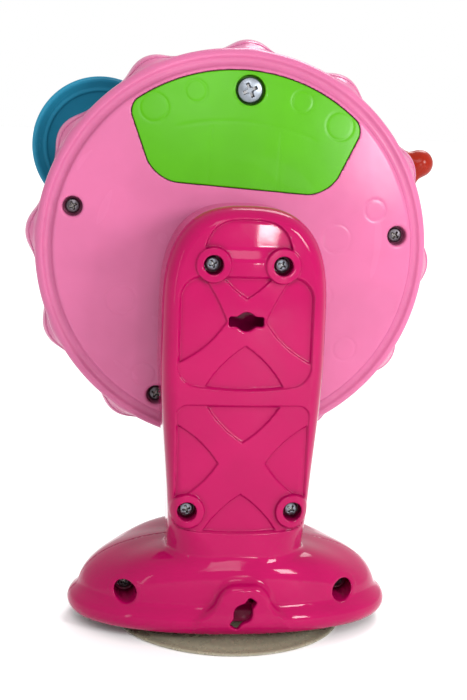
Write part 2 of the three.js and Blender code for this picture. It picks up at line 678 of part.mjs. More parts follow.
function addLightButton(wheel) {
  const inner = FACE_Y + WALL;
  const flange = BUTTON_R + 2;
  const dome = (radius, apex, base) => {
    const points = [];
    for (let i = 0; i <= 4; i += 1) {
      const angle = (i / 4) * (Math.PI / 2);
      points.push([radius * Math.sin(angle), base - (base - apex) * Math.cos(angle)]);
    }
    return points;
  };
  const shell = turned([
    ...dome(BUTTON_R, FACE_Y - 8, FACE_Y - 0.5),
    [BUTTON_R, inner + 0.4],
    [flange, inner + 0.4],
    [flange, inner + 1.7],
    [BUTTON_R - 1.8, inner + 1.7],
    ...dome(BUTTON_R - 1.8, FACE_Y - 6.2, FACE_Y - 0.5).reverse(),
  ], 24);
  const switchTop = BOARD_Y - GAP - 3.1;
  const stem = rod(2.6, FACE_Y - 7, switchTop - BUTTON_TRAVEL - GAP, 0, 0, 12);
  addPart(wheel, "light_button", join(shell, stem), LENS);
}

// ---------------------------------------------------------------- playthings on the face
function dish() {
  const r = 27;
  const rear = STATION_REAR_Y;
  const front = rear - 10;
  return turned([
    [2 + GAP, rear],
    [4.8, rear],
    [4.8, front + 2.2],
    [r - 4, front + 2.2],
    [r - 2.2, front + 4],
    [r - 1.8, rear],
    [r, rear],
    [r, front],
    [r - 1.6, front - 2.2],
    [r - 4, front - 2.2],
    [r - 4.6, front],
    [5, front],
    [5, front + 1.6],
    [2 + GAP, front + 1.6],
    [2 + GAP, rear],
  ], 28);
}

// A fat five-sided spinner with a ball on each corner.
function ballStar() {
  const corners = 5;
  const cornerR = 26;
  const outline = new THREE.Shape();
  outline.moveTo(...polar(cornerR, 0));
  for (let i = 0; i < corners; i += 1) {
    const side = polar(cornerR * 1.02, ((i + 0.5) * 360) / corners);
    outline.quadraticCurveTo(...side, ...polar(cornerR, ((i + 1) * 360) / corners));
  }
  let body = join(
    slab(outline, -37, -30, { edge: 1.6, curve: 4, rounds: 2 }),
    rod(4.8, -36, STATION_REAR_Y, 0, 0, 16),
  );
  for (let i = 0; i < corners; i += 1) {
    const [x, z] = polar(28, (i * 360) / corners);
    body = join(body, new THREE.SphereGeometry(5.6, 8, 6).translate(x, -33.5, z));
  }
  return cut(body, rod(2 + GAP, -50, 0, 0, 0, 12));
}

function flower() {
  const petals = 5;
  let body = join(rod(13, -36, -29.5, 0, 0, 24), rod(4.8, -35, STATION_REAR_Y, 0, 0, 16));
  for (let i = 0; i < petals; i += 1) {
    const [x, z] = polar(15.5, ((i + 0.5) * 360) / petals);
    const petal = slab(roundShape(9.5), -36, -29.5, { edge: 1.4, curve: 7, rounds: 1 }).translate(x, 0, z);
    body = join(body, petal);
  }
  return cut(body, rod(2 + GAP, -50, 0, 0, 0, 12));
}

function addStations(wheel) {
  const [dishAt, starAt, flowerAt] = stationPlaces();
  addPart(wheel, "spinning_dish", dish(), TEAL).position.set(dishAt[0], 0, dishAt[1]);
  const dishFront = STATION_REAR_Y - 10;
  addPart(wheel, "mirror", rod(21.6, dishFront - 1.6, dishFront - GAP, 0, 0, 40), MIRROR)
    .position.set(dishAt[0], 0, dishAt[1]);
  const dishPin = turned([
    [0, -15], [2, -15], [2, dishFront + 1.3], [4.5, dishFront + 1.3], [4.5, dishFront + 0.1],
    [0, dishFront + 0.1],
  ], 12);
  addPart(wheel, "dish_pin", dishPin, WHITE).position.set(dishAt[0], 0, dishAt[1]);

  const star = addPart(wheel, "ball_star", ballStar(), ORANGE);
  star.position.set(starAt[0], 0, starAt[1]);
  star.rotation.y = THREE.MathUtils.degToRad(-(159 - 3.7)); // one ball points almost straight out
  addPart(wheel, "flower", flower(), YELLOW).position.set(flowerAt[0], 0, flowerAt[1]);
  const capPin = (front) =>
    turned([[0, -15], [2, -15], [2, front - GAP], [6.5, front - GAP], [6.5, front - 1.6], [4, front - 2.8],
      [0, front - 3.2]], 16);
  addPart(wheel, "star_pin", capPin(-37), YELLOW).position.set(starAt[0], 0, starAt[1]);
  addPart(wheel, "flower_pin", capPin(-36), ORANGE).position.set(flowerAt[0], 0, flowerAt[1]);
}

// ---------------------------------------------------------------- assembly
function addWheel(wheel) {
  addPart(wheel, "wheel_front_shell", frontShell(), PALE_PINK);
  addPart(wheel, "wheel_back_shell", backShell(), PALE_PINK);
  const bush = turned([
    [AXLE_R + GAP, BOSS_END_Y], [BUSH_R, BOSS_END_Y], [BUSH_R, BACK_APEX_Y + GAP], [9, BACK_APEX_Y + GAP],
    [9, BACK_APEX_Y + 2], [AXLE_R + GAP, BACK_APEX_Y + 2], [AXLE_R + GAP, BOSS_END_Y],
  ], 20);
  addPart(wheel, "axle_bush", bush, WHITE);
  CASE_SCREW_TURNS.forEach((turn, index) => {
    const [x, z] = polar(CASE_SCREW_R, 90 - turn);
    const fastener = screw({ headR: 2.8, headHigh: 2.1, shankR: 1.3, length: 14 });
    addPart(wheel, `case_screw_${index + 1}`, fastener, STEEL).position.set(x, 1 + GAP, z);
  });
  addPart(wheel, "battery_door", batteryDoor(), LIME);
  const doorScrew = screw({ headR: 4.85, headHigh: 2.6, shankR: 1.4, length: 5.6 });
  addPart(wheel, "door_screw", doorScrew, STEEL).position.set(0, 3.8 + GAP, DOOR_SCREW_Z);
  addBatteries(wheel);
  addElectronics(wheel);
  addLightButton(wheel);
  addStations(wheel);
}

const toy = new THREE.Group();
toy.position.set(-ORIGIN_X, -ORIGIN_Y, 0);
addStand(toy);

const onAxis = new THREE.Group();
onAxis.position.z = WHEEL_AXIS_Z;
toy.add(onAxis);
addAxle(onAxis);

const wheel = new THREE.Group();
wheel.rotation.y = -WHEEL_REST_TURN;
onAxis.add(wheel);
addWheel(wheel);

const part = new THREE.Group();
part.add(toy);

export default part;
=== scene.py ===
"""Looks of a baby's table-top activity wheel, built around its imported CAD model.

The moulded shells are distance fields: functions of x, y and z in millimetres that are negative inside
the plastic. surface_of() turns such a field into a mesh. Turned pieces are profiles spun round an axis.
The stand's own frame has x = 0 in the column's middle, y = 0 in the plane of the wheel's widest outline
and z = 0 on the table. The wheel's own frame has the same y, and x = z = 0 on the axle.
"""

import math

import bmesh
import bpy
import numpy as np
from mathutils import Matrix, Vector


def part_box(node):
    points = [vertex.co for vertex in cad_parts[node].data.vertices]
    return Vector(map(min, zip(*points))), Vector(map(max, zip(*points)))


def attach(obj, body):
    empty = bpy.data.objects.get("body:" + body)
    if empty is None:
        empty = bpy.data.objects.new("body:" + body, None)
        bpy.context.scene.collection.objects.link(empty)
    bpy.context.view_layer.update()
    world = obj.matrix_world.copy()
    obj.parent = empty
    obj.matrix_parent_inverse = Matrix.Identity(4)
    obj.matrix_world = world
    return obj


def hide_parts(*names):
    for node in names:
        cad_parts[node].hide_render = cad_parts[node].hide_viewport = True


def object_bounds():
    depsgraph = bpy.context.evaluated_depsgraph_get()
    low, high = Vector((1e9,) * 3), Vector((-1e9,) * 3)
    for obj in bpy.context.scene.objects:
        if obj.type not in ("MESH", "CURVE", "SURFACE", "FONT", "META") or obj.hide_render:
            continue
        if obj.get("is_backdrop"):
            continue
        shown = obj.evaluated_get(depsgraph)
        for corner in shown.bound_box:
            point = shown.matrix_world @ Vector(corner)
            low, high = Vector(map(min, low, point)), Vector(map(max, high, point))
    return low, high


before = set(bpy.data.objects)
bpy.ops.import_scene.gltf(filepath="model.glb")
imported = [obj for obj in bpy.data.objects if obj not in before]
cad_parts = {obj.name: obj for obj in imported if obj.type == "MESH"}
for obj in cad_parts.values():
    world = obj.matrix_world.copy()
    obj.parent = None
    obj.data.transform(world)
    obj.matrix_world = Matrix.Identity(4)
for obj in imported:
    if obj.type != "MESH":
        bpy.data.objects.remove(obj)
CAD_LOW, CAD_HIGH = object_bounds()


# ---------------------------------------------------------------- places, from the frame
def middle_of(node):
    """Centre of a CAD node, in millimetres."""
    low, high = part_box(node)
    return (low + high) * 500


FOOT_Y = 19.0  # the foot's middle in the stand's own frame
CUP_MIDDLE = middle_of("suction_cup")
AXLE_MIDDLE = middle_of("axle")
DOOR_SCREW = middle_of("door_screw") - AXLE_MIDDLE
ZERO_Y = CUP_MIDDLE.y - FOOT_Y
WHEEL_TURN = math.atan2(DOOR_SCREW.x, DOOR_SCREW.z)
STAND_PLACE = Matrix.Translation(Vector((CUP_MIDDLE.x, ZERO_Y, 0)) * 0.001)
AXLE_PLACE = Matrix.Translation(Vector((AXLE_MIDDLE.x, ZERO_Y, AXLE_MIDDLE.z)) * 0.001)
WHEEL_PLACE = AXLE_PLACE @ Matrix.Rotation(WHEEL_TURN, 4, "Y")


def in_wheel(node):
    """Centre of a CAD node in the wheel's own frame, in millimetres."""
    return WHEEL_PLACE.inverted() @ (middle_of(node) * 0.001) * 1000


def moved(place, x=0.0, y=0.0, z=0.0, turn=0.0, axis="Y"):
    """The place moved by millimetres, then turned by degrees."""
    shift = Matrix.Translation(Vector((x, y, z)) * 0.001)
    return place @ shift @ Matrix.Rotation(math.radians(turn), 4, axis)


# ---------------------------------------------------------------- dimensions, in millimetres
SEAM = 0.03  # half the parting line between two shells

COLUMN_FRONT, COLUMN_BACK = 17.0, 49.5
COLUMN_TOP = 158.0
CROWN_START = 120.0
COLUMN_HALF, COLUMN_SPREAD = 25, 4.3  # half its width at the foot, and how much wider it gets each side
COLUMN_CORNER = (5.7, 7.5)
FOOT_HALF_X, FOOT_HALF_Y, FOOT_HIGH = 57.6, 33.9, 25.8
FOOT_Z = 8  # where the foot's dome starts
RIM_HALF_X, RIM_HALF_Y, RIM_R = 56.3, 32.2, 4.9
RIM_Z, RIM_DROP = 9.4, 1.5  # the rim's middle behind the column, and how much lower its ends are
COLUMN_SLOT, FOOT_SLOT = (0, 118), (-1.7, 13.6)
STAND_WALL = 2.5
STAND_SEAM_Y = 20.0
UPPER_SCREWS = [(12.2, 137.8), (-12.2, 137.8)]
LOWER_SCREWS = [(19.0, 49.5), (-19.0, 49.5)]
BASE_SCREWS = [(40.0, 17.5), (-40.0, 17.5)]
HEAD_SEAT_Y = 43.9  # under the column screws' heads
BASE_SEAT_Y = 29.8
AXLE_Z = AXLE_MIDDLE.z

WHEEL_R = 75.0
DOME_APEX_Y, DOME_EDGE_Y, DOME_EDGE_R = 12.0, 5.5, 69.0
WHEEL_SEAM_Y = -3.0
FACE_Y = -25.0
WHEEL_WALL = 2.2
CASE_SCREW_R = 62.8
CASE_SCREW_TURNS = (79.9, 157.0, -157.0, -79.9)
BUMPS = 12

DOOR_INNER_Z, DOOR_OUTER_R, DOOR_INNER_HALF = 23.6, 66.8, 32.8
DOOR_LEAN = 7.4 / 17
DOOR_THICK = 2.1
DOOR_SCREW_Z = DOOR_SCREW.xz.length
SEAT_Y = 3.4
BAY = {"half_x": 29.0, "z0": 25.0, "z1": 54.0, "y0": -9.1}
BATTERY_Z = (32.4, 46.7)
BATTERY_Y = -1.8
BATTERY_HALF = 24.5
BATTERY_X = 2.0  # how far each cell's middle lies from the bay's middle, towards its positive end
PLATE_X = 28.5  # middle of the contact plates
BOARD_FRONT, BOARD_BACK = -15.6, -14.0
BOARD_R = 27.0
BOARD_POSTS = [(24 * math.cos(math.radians(a)), 24 * math.sin(math.radians(a))) for a in (90, 210, 330)]
BUTTON_R = 19.0
STATION_REAR = -27.6
STAR_TURN = math.radians(155.3)  # one of the star's balls points almost straight out


# ---------------------------------------------------------------- field arithmetic
def rounded(a, b, radius):
    """Inside both a and b, with the corner between them rounded."""
    u, v = a + radius, b + radius
    return np.minimum(np.maximum(u, v), 0) + np.hypot(np.maximum(u, 0), np.maximum(v, 0)) - radius


def join(a, b, radius=0.0):
    """Inside a or b, with a fillet of about this radius where they meet."""
    if radius == 0:
        return np.minimum(a, b)
    h = np.maximum(radius - np.abs(a - b), 0) / radius
    return np.minimum(a, b) - h * h * radius / 4


def cut(a, tool, radius=0.0):
    """Inside a and outside the tool."""
    return -join(-a, tool, radius)


def ease(t):
    t = np.clip(t, 0, 1)
    return t * t * (3 - 2 * t)


def within(distance, ramp):
    """1 well inside an outline, 0 outside it, with a soft step `ramp` wide."""
    return ease(0.5 - distance / ramp)


def rod(x, y, z, radius, y0, y1, at=(0.0, 0.0), edge=0.4):
    """A round rod along y with softened ends."""
    return rounded(np.hypot(x - at[0], z - at[1]) - radius, np.abs(y - (y0 + y1) / 2) - (y1 - y0) / 2, edge)


def block(x, y, z, low, high, edge=0.4):
    sides = [np.abs(v - (a + b) / 2) - (b - a) / 2 for v, a, b in zip((x, y, z), low, high)]
    return rounded(rounded(sides[0], sides[1], edge), sides[2], edge)


def oval_corner(side, depth, a, b):
    """Inside side and depth, with a quarter ellipse a by b for the corner between them."""
    u, v = np.maximum(side + a, 0) / a, np.maximum(depth + b, 0) / b
    k = np.hypot(u, v)
    corner = (k - 1) * k / np.maximum(np.hypot(u / a, v / b), 1e-9)
    return np.where(k > 0.05, corner, np.maximum(side, depth))


# ---------------------------------------------------------------- from a field to a mesh
BLOCK = 6  # grid cells to a block that is skipped when no surface can be near it
REACH = 1.25  # how near, in blocks


def field_values(field, low, high, step):
    """The field on a grid, worked out only near its surface."""
    counts = [math.ceil((b - a) / (step * BLOCK)) for a, b in zip(low, high)]
    size = step * BLOCK
    middles = [a + (np.arange(n) + 0.5) * size for a, n in zip(low, counts)]
    rough = field(*(m.ravel() for m in np.meshgrid(*middles, indexing="ij"))).reshape(counts)
    values = rough
    for axis in range(3):
        values = np.repeat(values, BLOCK, axis)
    values = np.pad(values, ((0, 1),) * 3, mode="edge")
    near = np.abs(values) < size * REACH
    for axis in range(3):
        near |= np.roll(near, 1, axis)
    points = np.array(low) + np.argwhere(near) * step
    values[near] = field(*points.T)
    return values


def surface_net(values):
    """One vertex in each cell that the surface crosses, and a quad round each grid edge that it crosses."""
    shape = values.shape
    total = np.zeros((values.size, 3))
    hits = np.zeros(values.size)
    quads = []
    for axis in range(3):
        first = [slice(None)] * 3
        second = [slice(None)] * 3
        first[axis], second[axis] = slice(None, -1), slice(1, None)
        a, b = values[tuple(first)], values[tuple(second)]
        edges = np.argwhere((a < 0) != (b < 0))
        start, end = a[tuple(edges.T)], b[tuple(edges.T)]
        crossing = edges.astype(float)
        crossing[:, axis] += start / (start - end)
        u, v = (axis + 1) % 3, (axis + 2) % 3
        around = []
        for du, dv in ((0, 0), (1, 0), (1, 1), (0, 1)):
            cell = edges.copy()
            cell[:, u] -= du
            cell[:, v] -= dv
            around.append(np.ravel_multi_index(cell.T, shape, mode="clip"))
            hits += np.bincount(around[-1], minlength=values.size)
            for k in range(3):
                total[:, k] += np.bincount(around[-1], crossing[:, k], minlength=values.size)
        ring = np.stack(around, 1)
        ring[start > 0] = ring[start > 0][:, ::-1]
        quads.append(ring)
    used, faces = np.unique(np.concatenate(quads), return_inverse=True)
    return total[used] / hits[used, None], faces.reshape(-1, 4)


def slope_of(field, points, reach):
    """The field's value and gradient at each point."""
    value = field(*points.T)
    slope = np.empty_like(points)
    for axis in range(3):
        ahead = points.copy()
        ahead[:, axis] += reach
        behind = points.copy()
        behind[:, axis] -= reach
        slope[:, axis] = (field(*ahead.T) - field(*behind.T)) / (2 * reach)
    return value, slope


def pulled(field, points, step):
    """The points moved onto the surface."""
    for _ in range(2):
        value, slope = slope_of(field, points, step * 0.2)
        move = slope * (value / np.maximum((slope * slope).sum(1), 0.05))[:, None]
        length = np.linalg.norm(move, axis=1)
        move *= np.minimum(1, 0.5 * step / np.maximum(length, 1e-9))[:, None]
        points = points - move
    return points


def mesh_from(name, points, faces):
    """A mesh, in metres, of points in millimetres."""
    mesh = bpy.data.meshes.new(name)
    mesh.from_pydata((points * 0.001).tolist(), [], [tuple(face) for face in faces])
    return mesh


def thinned(mesh, hidden, share):
    """The mesh with only `share` of its faces left where hidden says so."""
    helper = bpy.data.objects.new("helper", mesh)
    bpy.context.scene.collection.objects.link(helper)
    group = helper.vertex_groups.new(name="hidden")
    group.add(np.flatnonzero(hidden).tolist(), 1.0, "REPLACE")
    kept = 1 - hidden.mean() * (1 - share)
    modifier = helper.modifiers.new("thin", "DECIMATE")
    modifier.ratio = kept
    modifier.vertex_group = "hidden"
    modifier.vertex_group_factor = 1000
    graph = bpy.context.evaluated_depsgraph_get()
    made = bpy.data.meshes.new_from_object(helper.evaluated_get(graph), depsgraph=graph)
    bpy.data.objects.remove(helper)
    return made


def surface_of(name, field, low, high, step, skin=None):
    """A mesh of the field's surface inside the box, with the field's own normals. skin is the field of the
    outer surface: faces that lie deeper than a wall's middle are inside the piece, and are thinned out."""
    points, faces = surface_net(field_values(field, low, high, step))
    points = pulled(field, np.array(low) + points * step, step)
    mesh = mesh_from(name, points, faces)
    if skin is not None:
        mesh = thinned(mesh, skin(*points.T) < -1.0, 0.08)
        points = np.empty(len(mesh.vertices) * 3, np.float32)
        mesh.vertices.foreach_get("co", points)
        points = points.reshape(-1, 3).astype(float) * 1000
    normals = slope_of(field, points, step * 0.35)[1]
    normals /= np.maximum(np.linalg.norm(normals, axis=1), 1e-9)[:, None]
    mesh.shade_smooth()
    mesh.normals_split_custom_set_from_vertices(normals.tolist())
    return mesh


# ---------------------------------------------------------------- turned pieces
def softened(profile, radius, steps=3):
    """The profile with each inner corner rounded."""
    made = [Vector(profile[0])]
    for before, here, after in zip(profile, profile[1:], profile[2:]):
        before, here, after = Vector(before), Vector(here), Vector(after)
        reach = min(radius, (before - here).length * 0.45, (after - here).length * 0.45)
        start = here + (before - here).normalized() * reach
        end = here + (after - here).normalized() * reach
        for i in range(steps + 1):
            t = i / steps
            made.append(start * (1 - t) ** 2 + here * 2 * t * (1 - t) + end * t * t)
    made.append(Vector(profile[-1]))
    return made


def turned(name, profile, segments=64, radius=0.3):
    """A [radius, along] profile spun round y. It starts and ends on the axis, or is closed on itself."""
    closed = profile[0] == profile[-1] and profile[0][0] > 0
    if closed:
        profile = profile[:-1]
        soft = softened([profile[-1], *profile, profile[0]], radius)[1:-1]
    else:
        soft = softened(profile, radius)
    work = bmesh.new()
    rings = []
    for r, along in soft:
        if r < 1e-6:
            rings.append([work.verts.new((0, along, 0))])
            continue
        turns = [2 * math.pi * i / segments for i in range(segments)]
        rings.append([work.verts.new((r * math.sin(a), along, r * math.cos(a))) for a in turns])
    pairs = list(zip(rings, rings[1:]))
    if closed:
        pairs.append((rings[-1], rings[0]))
    for one, two in pairs:
        if len(one) == len(two) == 1:
            continue
        for i in range(segments):
            j = (i + 1) % segments
            corners = [one[i % len(one)], one[j % len(one)], two[j % len(two)], two[i % len(two)]]
            unique = list(dict.fromkeys(corners))
            if len(unique) > 2:
                work.faces.new(unique)
    bmesh.ops.recalc_face_normals(work, faces=work.faces)
    work.transform(Matrix.Scale(0.001, 4))
    mesh = bpy.data.meshes.new(name)
    work.to_mesh(mesh)
    work.free()
    mesh.shade_smooth()
    return mesh


def coil(name, length, wide, narrow, wire, turns=4.0, around=8):
    """A conical spring along y, with a closed turn at each end."""
    steps = round(turns * 24)
    points, faces = [], []
    for i in range(steps + 1):
        part = i / steps
        rise = length * ease(np.array(part * 1.16 - 0.08)).item()
        r = wide + (narrow - wide) * part
        turn = 2 * math.pi * turns * part
        for j in range(around):
            a = 2 * math.pi * j / around
            out = r + wire * math.cos(a)
            points.append((out * math.cos(turn), rise + wire * math.sin(a), out * math.sin(turn)))
    for i in range(steps):
        for j in range(around):
            here, there = i * around, (i + 1) * around
            k = (j + 1) % around
            faces.append((here + j, there + j, there + k, here + k))
    faces.append(tuple(range(around)))
    faces.append(tuple(range(steps * around + around - 1, steps * around - 1, -1)))
    mesh = mesh_from(name, np.array(points), faces)
    mesh.shade_smooth()
    return mesh


def add_piece(name, mesh, material, place, body, *nodes):
    """The mesh as a named piece in its place, riding on a body and standing for CAD nodes."""
    obj = bpy.data.objects.new(name, mesh)
    bpy.context.scene.collection.objects.link(obj)
    obj.matrix_world = place
    if not mesh.materials:
        mesh.materials.append(material)
    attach(obj, body)
    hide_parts(*nodes)


# ---------------------------------------------------------------- materials
def material_nodes(name):
    material = bpy.data.materials.new(name)
    material.use_nodes = True
    tree = material.node_tree
    tree.nodes.clear()
    shader = tree.nodes.new("ShaderNodeBsdfPrincipled")
    output = tree.nodes.new("ShaderNodeOutputMaterial")
    tree.links.new(shader.outputs[0], output.inputs["Surface"])
    return material, tree, shader


def wire(tree, made, inputs):
    """Give a node its inputs. An input is a value or another node's output socket."""
    for key, value in inputs.items():
        if isinstance(value, bpy.types.NodeSocket):
            tree.links.new(value, made.inputs[key])
        else:
            made.inputs[key].default_value = value


def node(tree, kind, inputs=None, **settings):
    """A new node with its settings and inputs."""
    made = tree.nodes.new(kind)
    for key, value in settings.items():
        setattr(made, key, value)
    wire(tree, made, inputs or {})
    return made


def noise(tree, scale, detail=2.0, stretch=None, turn=(0, 0, 0)):
    """Noise in the object's own metres; stretch makes it streaky."""
    place = node(tree, "ShaderNodeTexCoord").outputs["Object"]
    if stretch:
        mapping = {"Vector": place, "Rotation": turn, "Scale": stretch}
        place = node(tree, "ShaderNodeMapping", mapping).outputs[0]
    made = node(tree, "ShaderNodeTexNoise", {"Vector": place, "Scale": scale, "Detail": detail})
    return made.outputs["Fac"]


def remap(tree, value, low, high, to_low, to_high):
    inputs = {"Value": value, "From Min": low, "From Max": high, "To Min": to_low, "To Max": to_high}
    return node(tree, "ShaderNodeMapRange", inputs).outputs["Result"]


def arithmetic(tree, operation, a, b):
    return node(tree, "ShaderNodeMath", {0: a, 1: b}, operation=operation).outputs[0]


def mixed_colour(tree, factor, a, b):
    a, b = ((*colour, 1) if isinstance(colour, tuple) else colour for colour in (a, b))
    return node(tree, "ShaderNodeMix", {"Factor": factor, 6: a, 7: b}, data_type="RGBA").outputs[2]


def bumped(tree, height, strength, distance):
    inputs = {"Height": height, "Strength": strength, "Distance": distance}
    return node(tree, "ShaderNodeBump", inputs).outputs[0]


def creases(tree, distance, low, high, most):
    """`most` in corners and grooves, 0 on open faces."""
    made = node(tree, "ShaderNodeAmbientOcclusion", {"Distance": distance}, samples=6)
    return remap(tree, made.outputs["AO"], low, high, most, 0)


def scratches(tree):
    """Hairline marks of handling in three directions, 1 on a mark."""
    marks = None
    for turn, scale in (((0.3, 0.5, 0.7), 26), ((1.2, 0.2, 2.1), 34), ((0.7, 1.4, 1.1), 22)):
        streak = noise(tree, scale, 1, stretch=(1, 26, 1), turn=turn)
        mark = remap(tree, streak, 0.70, 0.73, 0, 1)
        marks = mark if marks is None else arithmetic(tree, "MAXIMUM", marks, mark)
    return marks


def moulded_plastic(name, colour, roughness=0.2, deep=0.55, subsurface=0.0):
    """Glossy injection-moulded plastic: a little uneven in colour, gently wavy, with hairline marks and dull
    patches from handling. Painted shade darkens its grooves and corners, down to `deep` times its colour."""
    material, tree, shader = material_nodes(name)
    # the colour of the painted shade in grooves and corners
    dark = tuple(c * deep for c in colour)
    pale = tuple(min(1, c * 1.06) for c in colour)
    cloud = remap(tree, noise(tree, 38, 3), 0.35, 0.65, 0, 1)
    base = mixed_colour(tree, cloud, tuple(c * 0.96 for c in colour), pale)
    # where the painted shade falls: an ambient-occlusion mask of grooves, seams and corners
    shade = creases(tree, 0.0022, 0.35, 0.95, 1)
    marks = scratches(tree)
    dull = remap(tree, noise(tree, 90, 4), 0.45, 0.75, roughness, roughness + 0.07)
    worn = arithmetic(tree, "MULTIPLY", marks, 0.12)
    grain = arithmetic(tree, "MULTIPLY", noise(tree, 1600, 3), 0.012)
    height = arithmetic(tree, "ADD", noise(tree, 55, 2), grain)
    height = arithmetic(tree, "SUBTRACT", height, arithmetic(tree, "MULTIPLY", marks, 0.01))
    wire(tree, shader, {
        "Base Color": mixed_colour(tree, shade, base, dark),
        "Roughness": arithmetic(tree, "ADD", dull, worn),
        "Normal": bumped(tree, height, 1.0, 0.00016),
        "IOR": 1.5,
        "Specular IOR Level": 0.15,
        "Subsurface Weight": subsurface,
        "Subsurface Radius": (1.0, 0.5, 0.4),
        "Subsurface Scale": 0.002,
    })
    return material


TARNISH = (0.30, 0.27, 0.24)


def plated_metal(name, colour, roughness=0.28, clouded=0.82):
    """Zinc or nickel plate: fine turning lines, cloudy patches and tarnish in the corners."""
    material, tree, shader = material_nodes(name)
    cloud = remap(tree, noise(tree, 420, 4), 0.4, 0.7, 0, 1)
    base = mixed_colour(tree, cloud, colour, tuple(c * clouded for c in colour))
    shade = creases(tree, 0.0012, 0.2, 0.8, 0.85)
    lines = noise(tree, 900, 2, stretch=(1, 0.2, 1))
    wire(tree, shader, {
        "Base Color": mixed_colour(tree, shade, base, TARNISH),
        "Roughness": remap(tree, lines, 0.3, 0.7, roughness, roughness + 0.18),
        "Normal": bumped(tree, lines, 0.6, 0.00002),
        "Metallic": 1.0,
    })
    return material


def battery_sleeve():
    """A printed metal sleeve, black with a copper end, bare steel at both ends of the cell."""
    material, tree, shader = material_nodes("battery_sleeve")
    place = node(tree, "ShaderNodeTexCoord").outputs["Object"]
    along = node(tree, "ShaderNodeSeparateXYZ", {"Vector": place}).outputs["Y"]
    edge = arithmetic(tree, "ADD", along, arithmetic(tree, "MULTIPLY", noise(tree, 300, 2), 0.0002))
    copper = remap(tree, edge, 0.0100, 0.0102, 0, 1)
    base = mixed_colour(tree, copper, (0.014, 0.015, 0.018), (0.50, 0.19, 0.05))
    for start, stop in ((0.0234, 0.0236), (-0.0238, -0.0240)):
        bare = remap(tree, edge, start, stop, 0, 1)
        base = mixed_colour(tree, bare, base, (0.62, 0.62, 0.60))
    scuffs = remap(tree, noise(tree, 260, 5), 0.62, 0.70, 0, 0.35)
    wire(tree, shader, {
        "Base Color": mixed_colour(tree, scuffs, base, (0.20, 0.20, 0.20)),
        "Roughness": remap(tree, noise(tree, 120, 4), 0.3, 0.7, 0.24, 0.42),
        "Normal": bumped(tree, noise(tree, 150, 3), 0.5, 0.00005),
        "Metallic": 0.7,
    })
    return material


def board_laminate():
    """Green solder mask over copper tracks, with bare solder dots."""
    material, tree, shader = material_nodes("board_green")
    place = node(tree, "ShaderNodeTexCoord").outputs["Object"]
    square = {"feature": "DISTANCE_TO_EDGE", "distance": "MANHATTAN"}
    cells = node(tree, "ShaderNodeTexVoronoi", {"Vector": place, "Scale": 260}, **square)
    track = remap(tree, cells.outputs["Distance"], 0.05, 0.07, 1, 0)
    base = mixed_colour(tree, track, (0.012, 0.10, 0.030), (0.03, 0.22, 0.06))
    dots = node(tree, "ShaderNodeTexVoronoi", {"Vector": place, "Scale": 420, "Randomness": 0.2})
    pad = remap(tree, dots.outputs["Distance"], 0.16, 0.18, 0.8, 0)
    bare = arithmetic(tree, "MULTIPLY", pad, track)
    wire(tree, shader, {
        "Base Color": mixed_colour(tree, bare, base, (0.6, 0.58, 0.52)),
        "Roughness": remap(tree, noise(tree, 200, 4), 0.3, 0.7, 0.28, 0.44),
        "Normal": bumped(tree, track, 0.6, 0.00004),
    })
    return material


def clear_plastic(name, colour, roughness, clearness):
    """Tinted see-through plastic: clouded, faintly wavy and rubbed."""
    material, tree, shader = material_nodes(name)
    cloud = remap(tree, noise(tree, 70, 4), 0.35, 0.7, 0, 1)
    dark = tuple(c * 0.86 for c in colour)
    rubbed = arithmetic(tree, "MULTIPLY", scratches(tree), 0.15)
    dull = remap(tree, noise(tree, 150, 4), 0.35, 0.7, roughness, roughness + 0.12)
    wire(tree, shader, {
        "Base Color": mixed_colour(tree, cloud, colour, dark),
        "Roughness": arithmetic(tree, "ADD", dull, rubbed),
        "Normal": bumped(tree, noise(tree, 90, 3), 0.6, 0.00008),
        "Transmission Weight": clearness,
        "IOR": 1.45,
    })
    return material


def cup_rubber():
    """Soft clear vinyl with a grey-beige cast, dusty and clouded."""
    material, tree, shader = material_nodes("cup_vinyl")
    cloud = remap(tree, noise(tree, 45, 3), 0.35, 0.7, 0, 1)
    wire(tree, shader, {
        "Base Color": mixed_colour(tree, cloud, (0.50, 0.46, 0.34), (0.44, 0.40, 0.29)),
        "Roughness": remap(tree, noise(tree, 240, 5), 0.35, 0.7, 0.20, 0.34),
        "Normal": bumped(tree, noise(tree, 120, 2), 0.5, 0.00006),
        "Transmission Weight": 0.55,
        "IOR": 1.45,
    })
    return material


# deep: how dark the painted shade in each plastic's grooves and corners gets
PINK = moulded_plastic("wheel_pink", (0.435, 0.105, 0.220), roughness=0.20, deep=0.60, subsurface=0.1)
MAGENTA = moulded_plastic("stand_magenta", (0.29, 0.0008, 0.059), roughness=0.06, deep=0.30)
LIME = moulded_plastic("door_lime", (0.058, 0.27, 0.001), roughness=0.28, deep=0.50)
TEAL = moulded_plastic("dish_teal", (0.014, 0.17, 0.27), roughness=0.22)
ORANGE = moulded_plastic("star_orange", (0.23, 0.010, 0.002), roughness=0.22)
YELLOW = moulded_plastic("flower_yellow", (0.62, 0.34, 0.012), roughness=0.20)
VIOLET = clear_plastic("button_violet", (0.20, 0.06, 0.46), roughness=0.10, clearness=0.35)
LENS = clear_plastic("lamp_lens", (0.90, 0.90, 0.86), roughness=0.06, clearness=0.85)
WHITE = moulded_plastic("nylon_white", (0.58, 0.565, 0.52), roughness=0.42)
BLACK = moulded_plastic("black_plastic", (0.012, 0.012, 0.014), roughness=0.40)
ZINC = plated_metal("zinc_plate", (0.21, 0.23, 0.26))
# a darker copy of the zinc plate, painted shade for screws that sit deep in their holes
SHADED_ZINC = plated_metal("shaded_zinc_plate", (0.10, 0.09, 0.10))
NICKEL = plated_metal("nickel_plate", (0.72, 0.69, 0.63), roughness=0.2)
MIRROR = plated_metal("mirror_film", (0.80, 0.82, 0.84), roughness=0.02, clouded=0.98)
BATTERY = battery_sleeve()
BOARD = board_laminate()
CUP = cup_rubber()


